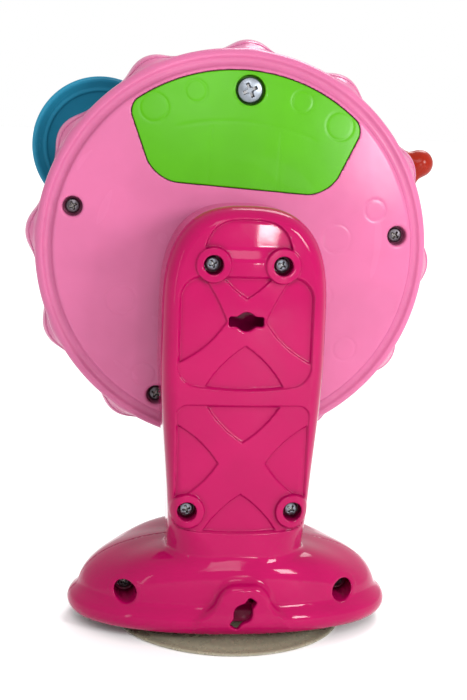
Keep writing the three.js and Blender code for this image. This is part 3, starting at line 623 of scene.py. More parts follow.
# ---------------------------------------------------------------- stand
def column(x, y, z, inset=0.0, relief=0.0):
    """Waisted and oval at the foot, widest at two thirds height, under a low arched crown."""
    half = COLUMN_HALF + COLUMN_SPREAD * ease((z - 34) / 74) - inset
    rise_high = COLUMN_TOP - CROWN_START - inset
    across = np.abs(x) / half
    rise = np.maximum(z - CROWN_START, 0) / rise_high
    power = 2.7
    size = np.maximum((across**power + rise**power) ** (1 / power), 1e-6)
    steep = np.hypot((across / size) ** (power - 1) / half, (rise / size) ** (power - 1) / rise_high)
    side = (size - 1) / np.maximum(steep, 1e-6)
    middle, half_depth = (COLUMN_FRONT + COLUMN_BACK) / 2, (COLUMN_BACK - COLUMN_FRONT) / 2
    depth = np.abs(y - middle) - half_depth + inset + np.where(y > middle, relief, 0)
    oval = ease((49 - z) / 18)
    wide, deep = COLUMN_CORNER
    return oval_corner(side, depth, wide + 13 * oval - inset, deep + 5.5 * oval - inset)


FIELD_R = 40.0  # radius of the curved edges of the panels' fields
FIELD_ACROSS, FIELD_ALONG = 21.3, 33.9  # from a field's tip to the centre of each of its edges


def panel_fields(x, z, top_tip, side_tips, bottom_tip, steep=1.0):
    """The four fields between a panel's crossed bands; each narrows to a tip near the crossing. The upper
    edges of the side fields can be steeper."""
    side_x, side_z = side_tips
    over = np.hypot(np.abs(x) + FIELD_ACROSS, z - top_tip - FIELD_ALONG) - FIELD_R
    under = np.hypot(np.abs(x) + FIELD_ACROSS, z - bottom_tip + FIELD_ALONG) - FIELD_R
    rise = np.where(z > side_z, (z - side_z) / steep, side_z - z)
    beside = np.hypot(np.abs(x) - side_x - FIELD_ALONG, rise + FIELD_ACROSS) - FIELD_R
    return np.minimum(np.minimum(over, under), beside)


def panel_outline(x, z, half, top, bottom, sag_r, top_round, bottom_round):
    """A panel with a bowed bottom edge."""
    side = np.abs(x) - half
    floor = np.hypot(x, z - bottom - sag_r) - sag_r
    return rounded(rounded(side, z - top, top_round), floor, bottom_round)


BAND_SUNK, FIELD_SUNK, CROWN_SUNK, RING_RAISED = 0.6, 0.7, 1.1, 0.7
RAMP = 0.6  # width of the steps in the relief


def column_relief(x, z):
    """How far the column's back lies under its flat face: panels, bands, crown recess and screw rings."""
    upper = panel_outline(x, z, 23.7, 133.9, 93.5, 115, 8, 6)
    lower = panel_outline(x, z, 23.7, 88.2, 41.3, 160, 4, 3)
    upper_fields = np.maximum(panel_fields(x, z, 126.0, (6.8, 118.0), 109.5, steep=1.6), upper + 0.5)
    lower_fields = np.maximum(panel_fields(x, z, 74.6, (8.4, 67.0), 55.8), lower + 0.5)
    sunk = BAND_SUNK * (within(upper, RAMP) + within(lower, RAMP))
    sunk += FIELD_SUNK * (within(upper_fields, RAMP) + within(lower_fields, RAMP))
    across = np.abs(x) / 15.5
    rise = np.maximum(z - 136, 0) / 17.6
    crown = (across**3 + rise**3) ** (1 / 3) - 1
    sunk += CROWN_SUNK * within(crown * 14, RAMP) * ease((z - 138.5) / 6)
    for at_x, at_z in UPPER_SCREWS + LOWER_SCREWS:
        inside = within(np.hypot(x - at_x, z - at_z) - 6.2, RAMP)
        sunk = sunk * (1 - inside) - RING_RAISED * inside
    return sunk + 0.7 * (x / 24) ** 2


def foot(x, y, z, inset=0.0):
    """The low dome over the foot: elliptical in plan, squarer behind the column than at its ends."""
    half_x, half_y, high = FOOT_HALF_X - inset, FOOT_HALF_Y - inset, FOOT_HIGH - inset
    u, v = np.abs(x) / half_x, np.abs(y - FOOT_Y) / half_y
    t = np.maximum(z - FOOT_Z, 0) / high
    plan = u**2 + v**2
    lean = v**2 / np.maximum(plan, 1e-6)
    power = 2.5 + 4.0 * lean**2
    around = np.sqrt(np.maximum(plan, 1e-9))
    size = np.maximum((around**power + t**power) ** (1 / power), 1e-6)
    share = (t / size) ** power
    scale = 1 / ((1 - share) * ((1 - lean) / half_x + lean / half_y) + share / high)
    return (size - 1) * scale


def flange(x, y, z, inset=0.0):
    """The rolled rim round the foot. Below its middle the inset one is open."""
    size = np.maximum(np.hypot(x / RIM_HALF_X, (y - FOOT_Y) / RIM_HALF_Y), 1e-6)
    steep = np.hypot(x / RIM_HALF_X**2, (y - FOOT_Y) / RIM_HALF_Y**2) / size
    out = (size - 1) / np.maximum(steep, 1e-6)
    end = (x / RIM_HALF_X) ** 2
    up = z - RIM_Z + RIM_DROP * end
    if inset:
        up = np.maximum(up, 0)
    return np.hypot(out, up) - (RIM_R - 0.2 * end - inset)


LOBE_X = -1.8


def lobe(x, y, z):
    """The tongue at the rear of the foot that the tie slot passes through."""
    half = 8.0 + 8.8 * np.exp(-np.maximum(z - 11, 0) / 4.2)
    arch = rounded(np.abs(x - LOBE_X) - half, z - 23.8, 5.5)
    rear = FOOT_Y + 37.3 * np.sqrt(1 - np.clip(x / 61, -1, 1) ** 2)
    return rounded(np.maximum(arch, 8.0 - z), np.maximum(y - rear, 38 - y), 2.2)


def tie_slot(x, z, at, lean):
    """A bar with a round middle, leaning from level by `lean` degrees."""
    c, s = math.cos(math.radians(lean)), math.sin(math.radians(lean))
    along = (x - at[0]) * c + (z - at[1]) * s
    across = -(x - at[0]) * s + (z - at[1]) * c
    bar = rounded(np.abs(along) - 6.2, np.abs(across) - 1.75, 0.9)
    return join(bar, np.hypot(along, across) - 3.4, 1.0)


def stand_skin(x, y, z):
    """The outer surface of the whole stand."""
    body = column(x, y, z, relief=column_relief(x, z))
    dome = join(foot(x, y, z), flange(x, y, z), 2.2)
    dome = np.maximum(dome, 3 - z)
    dome = join(dome, lobe(x, y, z), 2.5)
    return join(np.maximum(body, 20 - z), dome, 1.8)


def stand_hollow(x, y, z):
    inner = np.maximum(column(x, y, z, inset=STAND_WALL, relief=1.2), 18 - z)
    low = join(foot(x, y, z, inset=STAND_WALL), flange(x, y, z, inset=STAND_WALL), 2.0)
    return join(inner, low, 3.0)


def stand_shell(x, y, z):
    """The stand's wall, with the web that holds the cup's neck."""
    hollow = stand_hollow(x, y, z)
    wall = cut(stand_skin(x, y, z), hollow, 0.6)
    web = rounded(np.maximum(np.abs(z - 14.3) - 1.1, np.abs(x) - 33), hollow - 0.5, 0.3)
    neck = np.hypot(x, y - FOOT_Y) - 7.3
    return cut(join(wall, web, 1.0), np.maximum(neck, np.abs(z - 14.3) - 2), 0.3)


def stand_rear_field(x, y, z):
    made = stand_shell(x, y, z)
    for at in UPPER_SCREWS + LOWER_SCREWS:
        made = join(made, rod(x, y, z, 5.2, 36, 46, at), 1.0)
        made = cut(made, rod(x, y, z, 3.45, HEAD_SEAT_Y - 0.3, 60, at), 0.5)
        made = cut(made, rod(x, y, z, 1.6, 30, 50, at), 0.2)
        made = cut(made, rod(x, y, z, 3.4, 15, 36, at), 0.2)
    for at in BASE_SCREWS:
        tube = np.maximum(rod(x, y, z, 5.5, 26.5, 50, at), stand_skin(x, y, z) + 0.5)
        made = join(made, tube, 1.0)
        made = cut(made, rod(x, y, z, 4.0, BASE_SEAT_Y - 0.3, 70, at), 0.9)
        made = cut(made, rod(x, y, z, 1.6, 15, 50, at), 0.2)
    for low, high in (((-11, 35.5, 109), (11, 37, 127)), ((-12, 40.5, 5.2), (9, 42, 22))):
        made = join(made, block(x, y, z, low, high), 0.5)  # a wall behind each tie slot
    column_slot = np.maximum(tie_slot(x, z, COLUMN_SLOT, 0), 43 - y)
    foot_slot = np.maximum(tie_slot(x, z, FOOT_SLOT, -55), 46 - y)
    made = cut(cut(made, column_slot, 0.6), foot_slot, 0.9)
    return rounded(made, STAND_SEAM_Y + SEAM - y, 0.1)


def stand_front_field(x, y, z):
    made = rounded(stand_shell(x, y, z), y - STAND_SEAM_Y + SEAM, 0.1)
    made = join(made, rod(x, y, z, 7.5, COLUMN_FRONT, 22, (0, AXLE_Z)), 1.0)
    for at in UPPER_SCREWS + LOWER_SCREWS:
        made = join(made, rod(x, y, z, 3.1, 18, 35.7, at), 0.8)
        made = cut(made, rod(x, y, z, 1.6, 21, 50, at), 0.2)
    for at in BASE_SCREWS:
        pillar = np.maximum(rod(x, y, z, 4.0, -20, 26.2, at), stand_skin(x, y, z) + 0.5)
        made = join(made, pillar, 0.8)
        made = cut(made, rod(x, y, z, 1.6, 4, 50, at), 0.2)
    return cut(made, rod(x, y, z, 4.3, 10, 30, (0, AXLE_Z)), 0.3)


def add_stand():
    low, high = (-62.5, 19.4, 1.6), (62.5, 57.5, 159.5)
    rear = surface_of("stand_rear", stand_rear_field, low, high, 0.5, skin=stand_skin)
    low, high = (-62.5, -18.5, 1.6), (62.5, 37.5, 159.5)
    front = surface_of("stand_front", stand_front_field, low, high, 0.85, skin=stand_skin)
    add_piece("stand_rear_moulding", rear, MAGENTA, STAND_PLACE, "stand", "stand_rear_shell")
    add_piece("stand_front_moulding", front, MAGENTA, STAND_PLACE, "stand", "stand_front_shell")


# ---------------------------------------------------------------- wheel
def dome_y(r):
    """The low dome of the wheel's back."""
    return DOME_APEX_Y - (DOME_APEX_Y - DOME_EDGE_Y) * (r / DOME_EDGE_R) ** 2


def door_outline(x, z, grow=0.0):
    """The battery door: a straight inner edge, leaning sides and an arc round the axle."""
    tilt = math.atan(DOOR_LEAN)
    side = (np.abs(x) - DOOR_INNER_HALF - DOOR_LEAN * (z - DOOR_INNER_Z)) * math.cos(tilt)
    inner = DOOR_INNER_Z - z
    outer = np.hypot(x, z) - DOOR_OUTER_R
    return rounded(rounded(side, inner, 8.0), outer, 4.0) - grow


def turned_skin(r, y, inset=0.0):
    """The back shell's outer surface: dome, groove and rolled rim."""
    dome = rounded(r - 69.5 + inset, (y - dome_y(r)) * 0.98 + inset, max(2.6 - inset, 0.5))
    rim = rounded(r - WHEEL_R + inset, y - 4.1 + inset, 3.6 - inset)
    both = join(dome, rim, 0.4)
    if inset:
        return both
    return cut(both, np.hypot(r - 70.5, y - 5.1) - 2.0, 0.7)


MARK_SPOTS = [
    (-38, 8, 5.5), (-34, -14, 4.5), (-52, 20, 4.0), (41, -22, 5.5), (-46, -34, 4.5), (30, -50, 4.5),
]


def mark_relief(x, z, spots):
    """Faint round marks that ejector pins and ribs leave."""
    sunk = np.zeros_like(x)
    for at_x, at_z, r in spots:
        away = np.hypot(x - at_x, z - at_z) - r
        sunk += 0.10 * np.exp(-((away / 0.55) ** 2))
    return sunk


def case_screw_places():
    for turn in CASE_SCREW_TURNS:
        angle = math.radians(90 - turn)
        yield CASE_SCREW_R * math.cos(angle), CASE_SCREW_R * math.sin(angle)


def folded(x, z, count, start):
    """x and z turned into the nearest of `count` equal sectors: outward and sideways distance."""
    pitch = 2 * np.pi / count
    off = (np.arctan2(z, x) - start + pitch / 2) % pitch - pitch / 2
    r = np.hypot(x, z)
    return r * np.cos(off), r * np.sin(off)


def spoke(out, side, y, middle, half, at_y, radius):
    """A round bar that points outward."""
    return np.hypot(np.hypot(side, np.maximum(np.abs(out - middle) - half, 0)), y - at_y) - radius


def bump(x, y, z):
    """The rim's bumps, which cross the seam between the shells."""
    out, along = folded(x, z, BUMPS, 0)
    return (np.sqrt((along / 8.5) ** 2 + ((y + 8.6) / 8.6) ** 2 + ((out - 72.4) / 6.6) ** 2) - 1) * 6.6


def wheel_back_skin(x, y, z):
    skin = turned_skin(np.hypot(x, z), y + mark_relief(x, z, MARK_SPOTS))
    return join(skin, bump(x, y, z), 3.0)


def wheel_back_field(x, y, z):
    r = np.hypot(x, z)
    skin = wheel_back_skin(x, y, z)
    hollow = turned_skin(r, y, inset=WHEEL_WALL)
    made = cut(skin, hollow, 0.5)
    ledge = rounded(door_outline(x, z, 2.4), np.abs(y - 4.0) - 2.4, 0.3)
    tub = block(x, y, z, (-30.6, BAY["y0"] - 1.6, BAY["z0"] - 1.6), (30.6, SEAT_Y, BAY["z1"] + 1.6), 0.8)
    made = join(made, np.maximum(join(ledge, tub, 0.5), skin + 0.4), 0.5)
    made = join(made, rod(x, y, z, 4.2, BAY["y0"] - 1.6, 2.5, (0, DOOR_SCREW_Z)), 0.5)
    for at in case_screw_places():
        made = join(made, rod(x, y, z, 5.4, -1.6, 5.5, at), 1.0)
    made = join(made, rod(x, y, z, 8.6, -9, 10.5), 1.5)
    opening = np.maximum(door_outline(x, z, 0.22), SEAT_Y - y)
    made = cut(made, opening, 0.25)
    bay = block(
        x, y, z, (-BAY["half_x"], BAY["y0"], BAY["z0"]), (BAY["half_x"], 30, BAY["z1"]), 1.0
    )
    made = cut(made, bay, 0.3)
    made = cut(made, rod(x, y, z, 6.7, 2.2, 9, (0, DOOR_SCREW_Z)), 0.2)
    made = cut(made, rod(x, y, z, 2.7, BAY["y0"], 20, (0, DOOR_SCREW_Z)), 0.2)
    for tab_x in (-14, 14):
        pocket = block(x, y, z, (tab_x - 4.5, 3.5, 20.3), (tab_x + 4.5, dome_y(24) - 2.3, 27), 0.3)
        made = cut(made, pocket, 0.2)
    for at in case_screw_places():
        made = cut(made, rod(x, y, z, 3.7, 1.0, 30, at), 1.3)
        made = cut(made, rod(x, y, z, 1.6, -5, 5, at), 0.2)
    made = cut(made, rod(x, y, z, 6.3, -12, 30), 0.3)
    return rounded(made, WHEEL_SEAM_Y + SEAM - y, 0.1)


def door_skin(x, y, z):
    spots = [(35, 50, 5.2), (-35, 50, 5.2), (-20, 57.5, 4.0), (20, 57.5, 4.0)]
    sunk = mark_relief(x, z, spots)
    r = np.hypot(x, z)
    for line in (np.abs(np.hypot(x, z + 35) - 83), np.abs(np.abs(x) - 13) + np.maximum(z - 45, 0)):
        sunk = sunk + 0.05 * np.exp(-((line / 0.8) ** 2)) * within(np.abs(x) - 26, 4)
    return rounded(door_outline(x, z), (y - dome_y(r) + sunk) * 0.98, 0.45)


def door_field(x, y, z):
    r = np.hypot(x, z)
    skin = door_skin(x, y, z)
    made = cut(skin, y - dome_y(r) + DOOR_THICK, 0.2)
    at = (0, DOOR_SCREW_Z)
    cup = np.maximum(rod(x, y, z, 6.3, 2.6, 20, at), skin + 0.02)
    made = join(made, cup, 0.3)
    for tab_x in (-14, 14):
        under = dome_y(24) - DOOR_THICK - 0.7
        made = join(made, block(x, y, z, (tab_x - 4, under - 1.5, 20.9), (tab_x + 4, under, 26.4), 0.3), 0.3)
        stem = block(x, y, z, (tab_x - 4, under - 1.5, 24), (tab_x + 4, dome_y(26) - 1, 26.4), 0.3)
        made = join(made, stem, 0.3)
    made = cut(made, rod(x, y, z, 5.6, 3.8, 30, at), 0.5)
    return cut(made, rod(x, y, z, 1.75, 0, 10, at), 0.2)


def front_skin(x, y, z):
    """The front shell's outer surface: a flat face, a round shoulder and bumps on the rim."""
    hull = rounded(np.hypot(x, z) - WHEEL_R, FACE_Y - y, 12.0)
    return join(hull, bump(x, y, z), 4.0)


def front_grooves(x, y, z):
    """A ring near the rim and short rays round the button, pressed into the face."""
    r = np.hypot(x, z)
    ring = np.hypot(r - 58.5, y - FACE_Y) - 0.6
    side = folded(z, x, 24, 0)[1]
    return join(ring, spoke(r, side, y, 29.5, 2.6, FACE_Y, 0.65))


def wheel_front_field(x, y, z):
    r = np.hypot(x, z)
    made = front_skin(x, y, z)
    hollow = rounded(r - WHEEL_R + WHEEL_WALL, FACE_Y + WHEEL_WALL - y, 9.8)
    made = cut(made, hollow, 0.5)
    posts = [((at[0], at[1]), 3.9, -1.9) for at in case_screw_places()]
    posts += [((spot.x, spot.z), 5.0, -13.0) for spot in STATION_SPOTS]
    for at in BOARD_POSTS:
        posts += [(at, 2.2, BOARD_FRONT - 0.3), (at, 1.1, BOARD_FRONT + 3)]
    for at, radius, end in posts:
        made = join(made, rod(x, y, z, radius, FACE_Y + 1, end, at), 0.8)
    for at in case_screw_places():
        made = cut(made, rod(x, y, z, 1.6, -17, 5, at), 0.2)
    ring = np.hypot(r - 23.5, y - FACE_Y) - 1.3
    made = join(made, ring, 1.0)
    made = cut(made, front_grooves(x, y, z), 0.5)
    made = cut(made, rod(x, y, z, 19.5, FACE_Y - 5, FACE_Y + 4), 0.6)
    for spot in STATION_SPOTS:
        at = (spot.x, spot.z)
        made = join(made, np.hypot(np.hypot(x - at[0], z - at[1]) - 8, y - FACE_Y) - 0.9, 0.8)
        made = cut(made, rod(x, y, z, 2.3, FACE_Y - 5, -14.5, at), 0.4)
    for ring_r, count in ((0, 1), (4.4, 6), (8.8, 8)):
        for i in range(count):
            turn = 2 * math.pi * i / count
            at = (SPEAKER_SPOT.x + ring_r * math.cos(turn), SPEAKER_SPOT.z + ring_r * math.sin(turn))
            made = cut(made, rod(x, y, z, 1.2, FACE_Y - 5, FACE_Y + 4, at), 0.6)
    low = (SWITCH_SPOT.x - 4.3, FACE_Y - 5, SWITCH_SPOT.z - 2)
    high = (SWITCH_SPOT.x + 4.3, FACE_Y + 4, SWITCH_SPOT.z + 2)
    made = cut(made, block(x, y, z, low, high, 0.5), 0.4)
    return rounded(made, y - WHEEL_SEAM_Y + SEAM, 0.1)


STATION_SPOTS = [in_wheel(name) for name in ("dish_pin", "star_pin", "flower_pin")]
SPEAKER_SPOT = in_wheel("speaker")
SWITCH_SPOT = in_wheel("power_switch_body")


def add_wheel():
    reach = WHEEL_R + 6.5
    low, high = (-reach, -12, -reach), (reach, 13.5, reach)
    back = surface_of("wheel_back", wheel_back_field, low, high, 0.62, skin=wheel_back_skin)
    add_piece("wheel_back_moulding", back, PINK, WHEEL_PLACE, "wheel", "wheel_back_shell")
    reach = WHEEL_R + 7
    low, high = (-reach, -28, -reach), (reach, -0.5, reach)
    front = surface_of("wheel_front", wheel_front_field, low, high, 0.85, skin=front_skin)
    add_piece("wheel_front_moulding", front, PINK, WHEEL_PLACE, "wheel", "wheel_front_shell")
    door = surface_of("door", door_field, (-46, 0.5, 19.5), (46, 13, 68.5), 0.42)
    add_piece("battery_door_moulding", door, LIME, WHEEL_PLACE, "door", "battery_door")


# ---------------------------------------------------------------- screws
def screw_field(head_r, head_high, shank_r, length):
    """A pan-head screw along y with its seat at y = 0, a cross recess and a thread."""
    crown_r = 2.6 * head_r
    pitch = shank_r * 0.85

    def field(x, y, z):
        r = np.hypot(x, z)
        crown = np.hypot(r, y - head_high + crown_r) - crown_r
        head = rounded(rounded(r - head_r, crown, 0.5), -y, 0.15)
        depth = head_high - y
        wide, narrow = np.maximum(np.abs(x), np.abs(z)), np.minimum(np.abs(x), np.abs(z))
        cross = np.maximum(wide - head_r * 0.62 + depth * 0.4, narrow - head_r * 0.13 + depth * 0.05)
        hub = r - head_r * 0.27 + depth * 0.2
        recess = np.maximum(join(cross, hub, 0.2), head_high * 0.3 - y)
        head = cut(head, recess, 0.12)
        climb = (y / pitch - np.arctan2(z, x) / (2 * np.pi)) % 1
        ridge = (1 - 2 * np.abs(climb - 0.5)) * ease((-y - 1) / 1.5)
        shank = np.maximum((r - shank_r * (0.78 + 0.28 * ridge)) * 0.7, y - 0.3)
        shank = np.maximum(shank, (r - (y + length) * 0.6) * 0.8)
        return join(head, shank, 0.2)

    reach = head_r + 0.4
    return field, (-reach, -length - 0.4, -reach), (reach, head_high + 0.5, reach)


SHELL_SCREW = {"head_r": 2.55, "head_high": 2.1, "shank_r": 1.3, "length": 18}
CASE_SCREW = {"head_r": 2.8, "head_high": 2.1, "shank_r": 1.3, "length": 14}
AXLE_SCREW = {"head_r": 3.6, "head_high": 1.8, "shank_r": 1.5, "length": 11}
CAPTIVE_SCREW = {"head_r": 4.85, "head_high": 2.6, "shank_r": 1.4, "length": 5.6}


def add_screws(name, sizes, material, body, nodes, flipped=False):
    """One screw shape in the place of each node. The recesses all point different ways."""
    field, low, high = screw_field(**sizes)
    mesh = surface_of(name, field, low, high, 0.19)
    for index, node_name in enumerate(nodes):
        low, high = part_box(node_name)
        seat = (low + high) / 2
        seat.y = low.y + sizes["head_high"] * 0.001 if flipped else high.y - sizes["head_high"] * 0.001
        place = Matrix.Translation(seat) @ Matrix.Rotation(math.radians(24 + 41 * index), 4, "Y")
        if flipped:
            place = place @ Matrix.Rotation(math.pi, 4, "X")
        add_piece(f"{node_name}_fine", mesh, material, place, body, node_name)


def add_all_screws():
    corners = ("upper_left", "upper_right", "lower_left", "lower_right")
    base = ["base_screw_left", "base_screw_right"]
    add_screws("column_screw", SHELL_SCREW, ZINC, "stand", [f"column_screw_{corner}" for corner in corners])
    # the base and case screws, deep in their holes, take the zinc copy darkened as painted shade
    add_screws("base_screw", SHELL_SCREW, SHADED_ZINC, "stand", base)
    add_screws("case_screw", CASE_SCREW, SHADED_ZINC, "wheel", [f"case_screw_{i + 1}" for i in range(4)])
    add_screws("axle_screw", AXLE_SCREW, ZINC, "stand", ["axle_screw"], flipped=True)
    add_screws("captive_screw", CAPTIVE_SCREW, ZINC, "door_fastener", ["door_screw"])


# ---------------------------------------------------------------- cup and axle
def add_cup():
    profile = [
        (0, 7), (8, 6.4), (16, 4.4), (24, 2), (30, 0.9), (39.8, 0.02), (42.5, 0.02), (43.3, 0.5),
        (42.5, 1.1), (39.8, 1.0), (37, 1.5), (30, 2), (24.5, 3.2), (18, 6.5), (11, 9.2), (7, 10),
        (7, 16.2), (9.5, 16.6), (9.5, 19.5), (7.5, 21), (3, 21), (2.4, 20.2), (0, 20.2),
    ]
    cup = turned("cup", profile, 128, 1.2)
    place = moved(STAND_PLACE, y=FOOT_Y, turn=90, axis="X")
    add_piece("suction_cup_moulding", cup, CUP, place, "stand", "suction_cup")


def add_axle():
    pin = [
        (0, 4), (1.85, 3.2), (1.85, -9.5), (4, -9.5), (4, 11), (3.8, 11.3), (3.8, 12), (4, 12.3), (4, 22.3),
        (6.3, 22.3), (6.3, 24.5), (0, 24.5),
    ]
    thrust = [
        (4.3, 14.3), (9.5, 14.3), (9.5, 16.7), (8.2, 16.7), (7.4, 16.3), (6.4, 16.7), (4.3, 16.7),
        (4.3, 14.3),
    ]
    washer = [(1.85, -11), (8, -11), (8, -9.8), (1.85, -9.8), (1.85, -11)]
    bush = [(4.3, -9), (6, -9), (6, 12.3), (9, 12.3), (9, 14), (4.3, 14), (4.3, -9)]
    add_piece("axle_pin", turned("axle", pin), ZINC, AXLE_PLACE, "stand", "axle")
    add_piece("thrust_ring", turned("thrust_washer", thrust), WHITE, AXLE_PLACE, "stand", "thrust_washer")
    add_piece("axle_washer_disc", turned("axle_washer", washer), ZINC, AXLE_PLACE, "stand", "axle_washer")
    add_piece("axle_bush_sleeve", turned("bush", bush), WHITE, WHEEL_PLACE, "wheel", "axle_bush")


# ---------------------------------------------------------------- playthings
def dish_field(x, y, z):
    """A round dish, hollowed like a bowl to the rear round its hub, with the mirror's seat in front."""
    r = np.hypot(x, z)
    front = STATION_REAR - 12.2
    made = rounded(rounded(r - 27, front - y, 2.4), y - STATION_REAR, 0.9)
    bowl = (STATION_REAR - 7.8 * (1 - np.minimum(r / 25.4, 1) ** 3.5) - y) * 0.8
    rear = rounded(np.maximum(r - 25.4, bowl), 4.8 - r, 0.8)
    made = cut(made, np.maximum(rear, y - 10 - STATION_REAR), 0.6)
    made = join(made, np.hypot(r - 22.0, y - STATION_REAR + 3.4) - 0.7, 0.8)
    made = cut(made, np.maximum(r - 22.4, y - front - 2.2), 0.5)
    made = cut(made, np.maximum(r - 5, y - front - 3.8), 0.4)
    return cut(made, r - 2.3, 0.3)


def star_field(x, y, z):
    """A fat five-sided spinner with a ball on each corner."""
    r = np.hypot(x, z)
    out, side = folded(x, z, 5, STAR_TURN)
    waist = r - 24.6 - 1.3 * np.cos(5 * np.arctan2(side, out))
    made = rounded(waist, np.abs(y + 33.5) - 3.5, 2.6)
    ball = np.sqrt((out - 28) ** 2 + side**2 + (y + 33.5) ** 2) - 5.6
    made = join(made, ball, 4.0)
    made = cut(made, np.hypot(r - 12, y + 37) - 0.9, 0.5)
    made = cut(made, spoke(out, side, y, 18.5, 3, -37, 1.0), 0.5)
    made = join(made, rod(x, y, z, 4.8, -36, STATION_REAR), 0.8)
    return cut(made, r - 2.3, 0.3)


def flower_field(x, y, z):
    """Five domed petals round a low ring."""
    r = np.hypot(x, z)
    out, side = folded(x, z, 5, math.radians(36))
    away = np.hypot(out - 15.5, side)
    petal = rounded(away - 9.5, np.abs(y + 32.75) - 3.25 + 0.012 * away**2, 2.4)
    petal = cut(petal, spoke(out, side, y, 18, 3, -36, 0.8), 0.5)
    made = join(petal, rounded(r - 10, np.abs(y + 32.75) - 3.1, 1.5), 1.0)
    made = join(made, np.hypot(r - 8.6, y + 35.2) - 0.8, 0.5)
    made = join(made, rod(x, y, z, 4.8, -35, STATION_REAR), 0.8)
    return cut(made, r - 2.3, 0.3)


def add_playthings():
    dish, star, flower = (moved(WHEEL_PLACE, x=spot.x, z=spot.z) for spot in STATION_SPOTS)
    for body, field, reach, step, material, place, node_name in (
        ("dish", dish_field, 28, 0.55, TEAL, dish, "spinning_dish"),
        ("star", star_field, 35, 0.7, ORANGE, star, "ball_star"),
        ("flower", flower_field, 26, 0.6, YELLOW, flower, "flower"),
    ):
        mesh = surface_of(body, field, (-reach, -41, -reach), (reach, -26.8, reach), step)
        add_piece(f"{node_name}_moulding", mesh, material, place, body, node_name)
    glass = [(0, -37.9), (21.6, -37.9), (21.6, -38.7), (21.0, -39.15), (0, -39.25)]
    add_piece("mirror_disc", turned("mirror", glass, 128, 0.15), MIRROR, dish, "dish", "mirror")
    shank = [(0, -15), (1.5, -15), (2, -15.6)]
    rivet = [*shank, (2, -36.3), (4.5, -36.3), (4.5, -37.1), (3.4, -37.5), (0, -37.5)]
    add_piece("dish_pin_rivet", turned("rivet", rivet), WHITE, dish, "wheel", "dish_pin")
    caps = (("star_pin", -37, YELLOW, star), ("flower_pin", -36, ORANGE, flower))
    for name, face, material, place in caps:
        cap = [
            *shank, (2, face - 0.3), (6.5, face - 0.3), (6.5, face - 1.5), (5.4, face - 2.4),
            (4.6, face - 2.2), (4.0, face - 2.7), (2, face - 3.2), (0, face - 3.3),
        ]
        mesh = turned(name, cap, 64, 0.6)
        add_piece(f"{name}_cap", mesh, material, place, "wheel", name)


# ---------------------------------------------------------------- button and switch
def add_button():
    inner = FACE_Y + WHEEL_WALL
    outside = [(0, FACE_Y - 8)]
    inside = []
    for i in range(1, 9):
        a = math.pi / 2 * i / 8
        outside.append((BUTTON_R * math.sin(a), FACE_Y - 0.5 - 7.5 * math.cos(a)))
        inside.append(((BUTTON_R - 1.8) * math.sin(a), FACE_Y - 0.5 - 5.7 * math.cos(a)))
    rim = [
        (BUTTON_R, inner + 0.4), (BUTTON_R + 2, inner + 0.4), (BUTTON_R + 2, inner + 1.7),
        (BUTTON_R - 1.8, inner + 1.7),
    ]
    stem = [(2.6, FACE_Y - 5.8), (2.6, -21.4), (2.1, -20.8), (0, -20.8)]
    profile = outside + rim + inside[::-1] + stem
    add_piece("light_button_dome", turned("button", profile, 96, 0.5), VIOLET, WHEEL_PLACE, "button",
              "light_button")


def switch_body_field(x, y, z):
    case = block(x, y, z, (-7, -19.4, -4), (7, -14.4, 4), 0.4)
    case = cut(case, block(x, y, z, (-4.4, -22, -2), (4.4, -18.6, 2), 0.2), 0.2)
    for at in (-3.5, 0, 3.5):
        case = cut(case, block(x, y, z, (at - 0.9, -15, -1.2), (at + 0.9, -14, 1.2), 0.2), 0.2)
    return cut(case, np.maximum(np.abs(np.abs(z) - 4) - 0.4, np.abs(np.abs(x) - 4) - 1.2), 0.3)


def switch_knob_field(x, y, z):
    made = block(x, y, z, (-7, FACE_Y - 2.2, -3.6), (7, FACE_Y - 0.3, 3.6), 0.5)
    made = join(made, block(x, y, z, (-2, FACE_Y - 1, -1.6), (2, -19.7, 1.6), 0.3), 0.4)
    for rib in (-2, 0, 2):
        ridge = block(x, y, z, (rib - 0.55, FACE_Y - 3.4, -3), (rib + 0.55, FACE_Y - 2, 3), 0.4)
        made = join(made, ridge, 0.4)
    return made


def add_switch():
    case = surface_of("switch", switch_body_field, (-8, -20.4, -5), (8, -13.4, 5), 0.25)
    place = moved(WHEEL_PLACE, x=SWITCH_SPOT.x, z=SWITCH_SPOT.z)
    add_piece("power_switch_case", case, BLACK, place, "wheel", "power_switch_body")
    knob = surface_of("knob", switch_knob_field, (-8, -29.4, -4.6), (8, -18.7, 4.6), 0.25)
    place = moved(WHEEL_PLACE, x=SWITCH_SPOT.x - 2, z=SWITCH_SPOT.z)
    add_piece("power_switch_slider", knob, WHITE, place, "switch_knob", "power_switch_knob")


# ---------------------------------------------------------------- batteries and electronics
def plate_field(half_z):
    """A sprung contact plate with a pressed ring and two stiffening ribs."""
    def field(x, y, z):
        ring = np.hypot(y + 2, z) - 3
        bow = 0.25 * np.exp(-((ring / 0.7) ** 2)) + 0.2 * np.exp(-(((np.abs(y + 2) - 5) / 0.6) ** 2))
        return rounded(np.abs(x + bow) - 0.2, rounded(np.abs(y + 2) - 6.2, np.abs(z) - half_z, 0.8), 0.1)

    return field


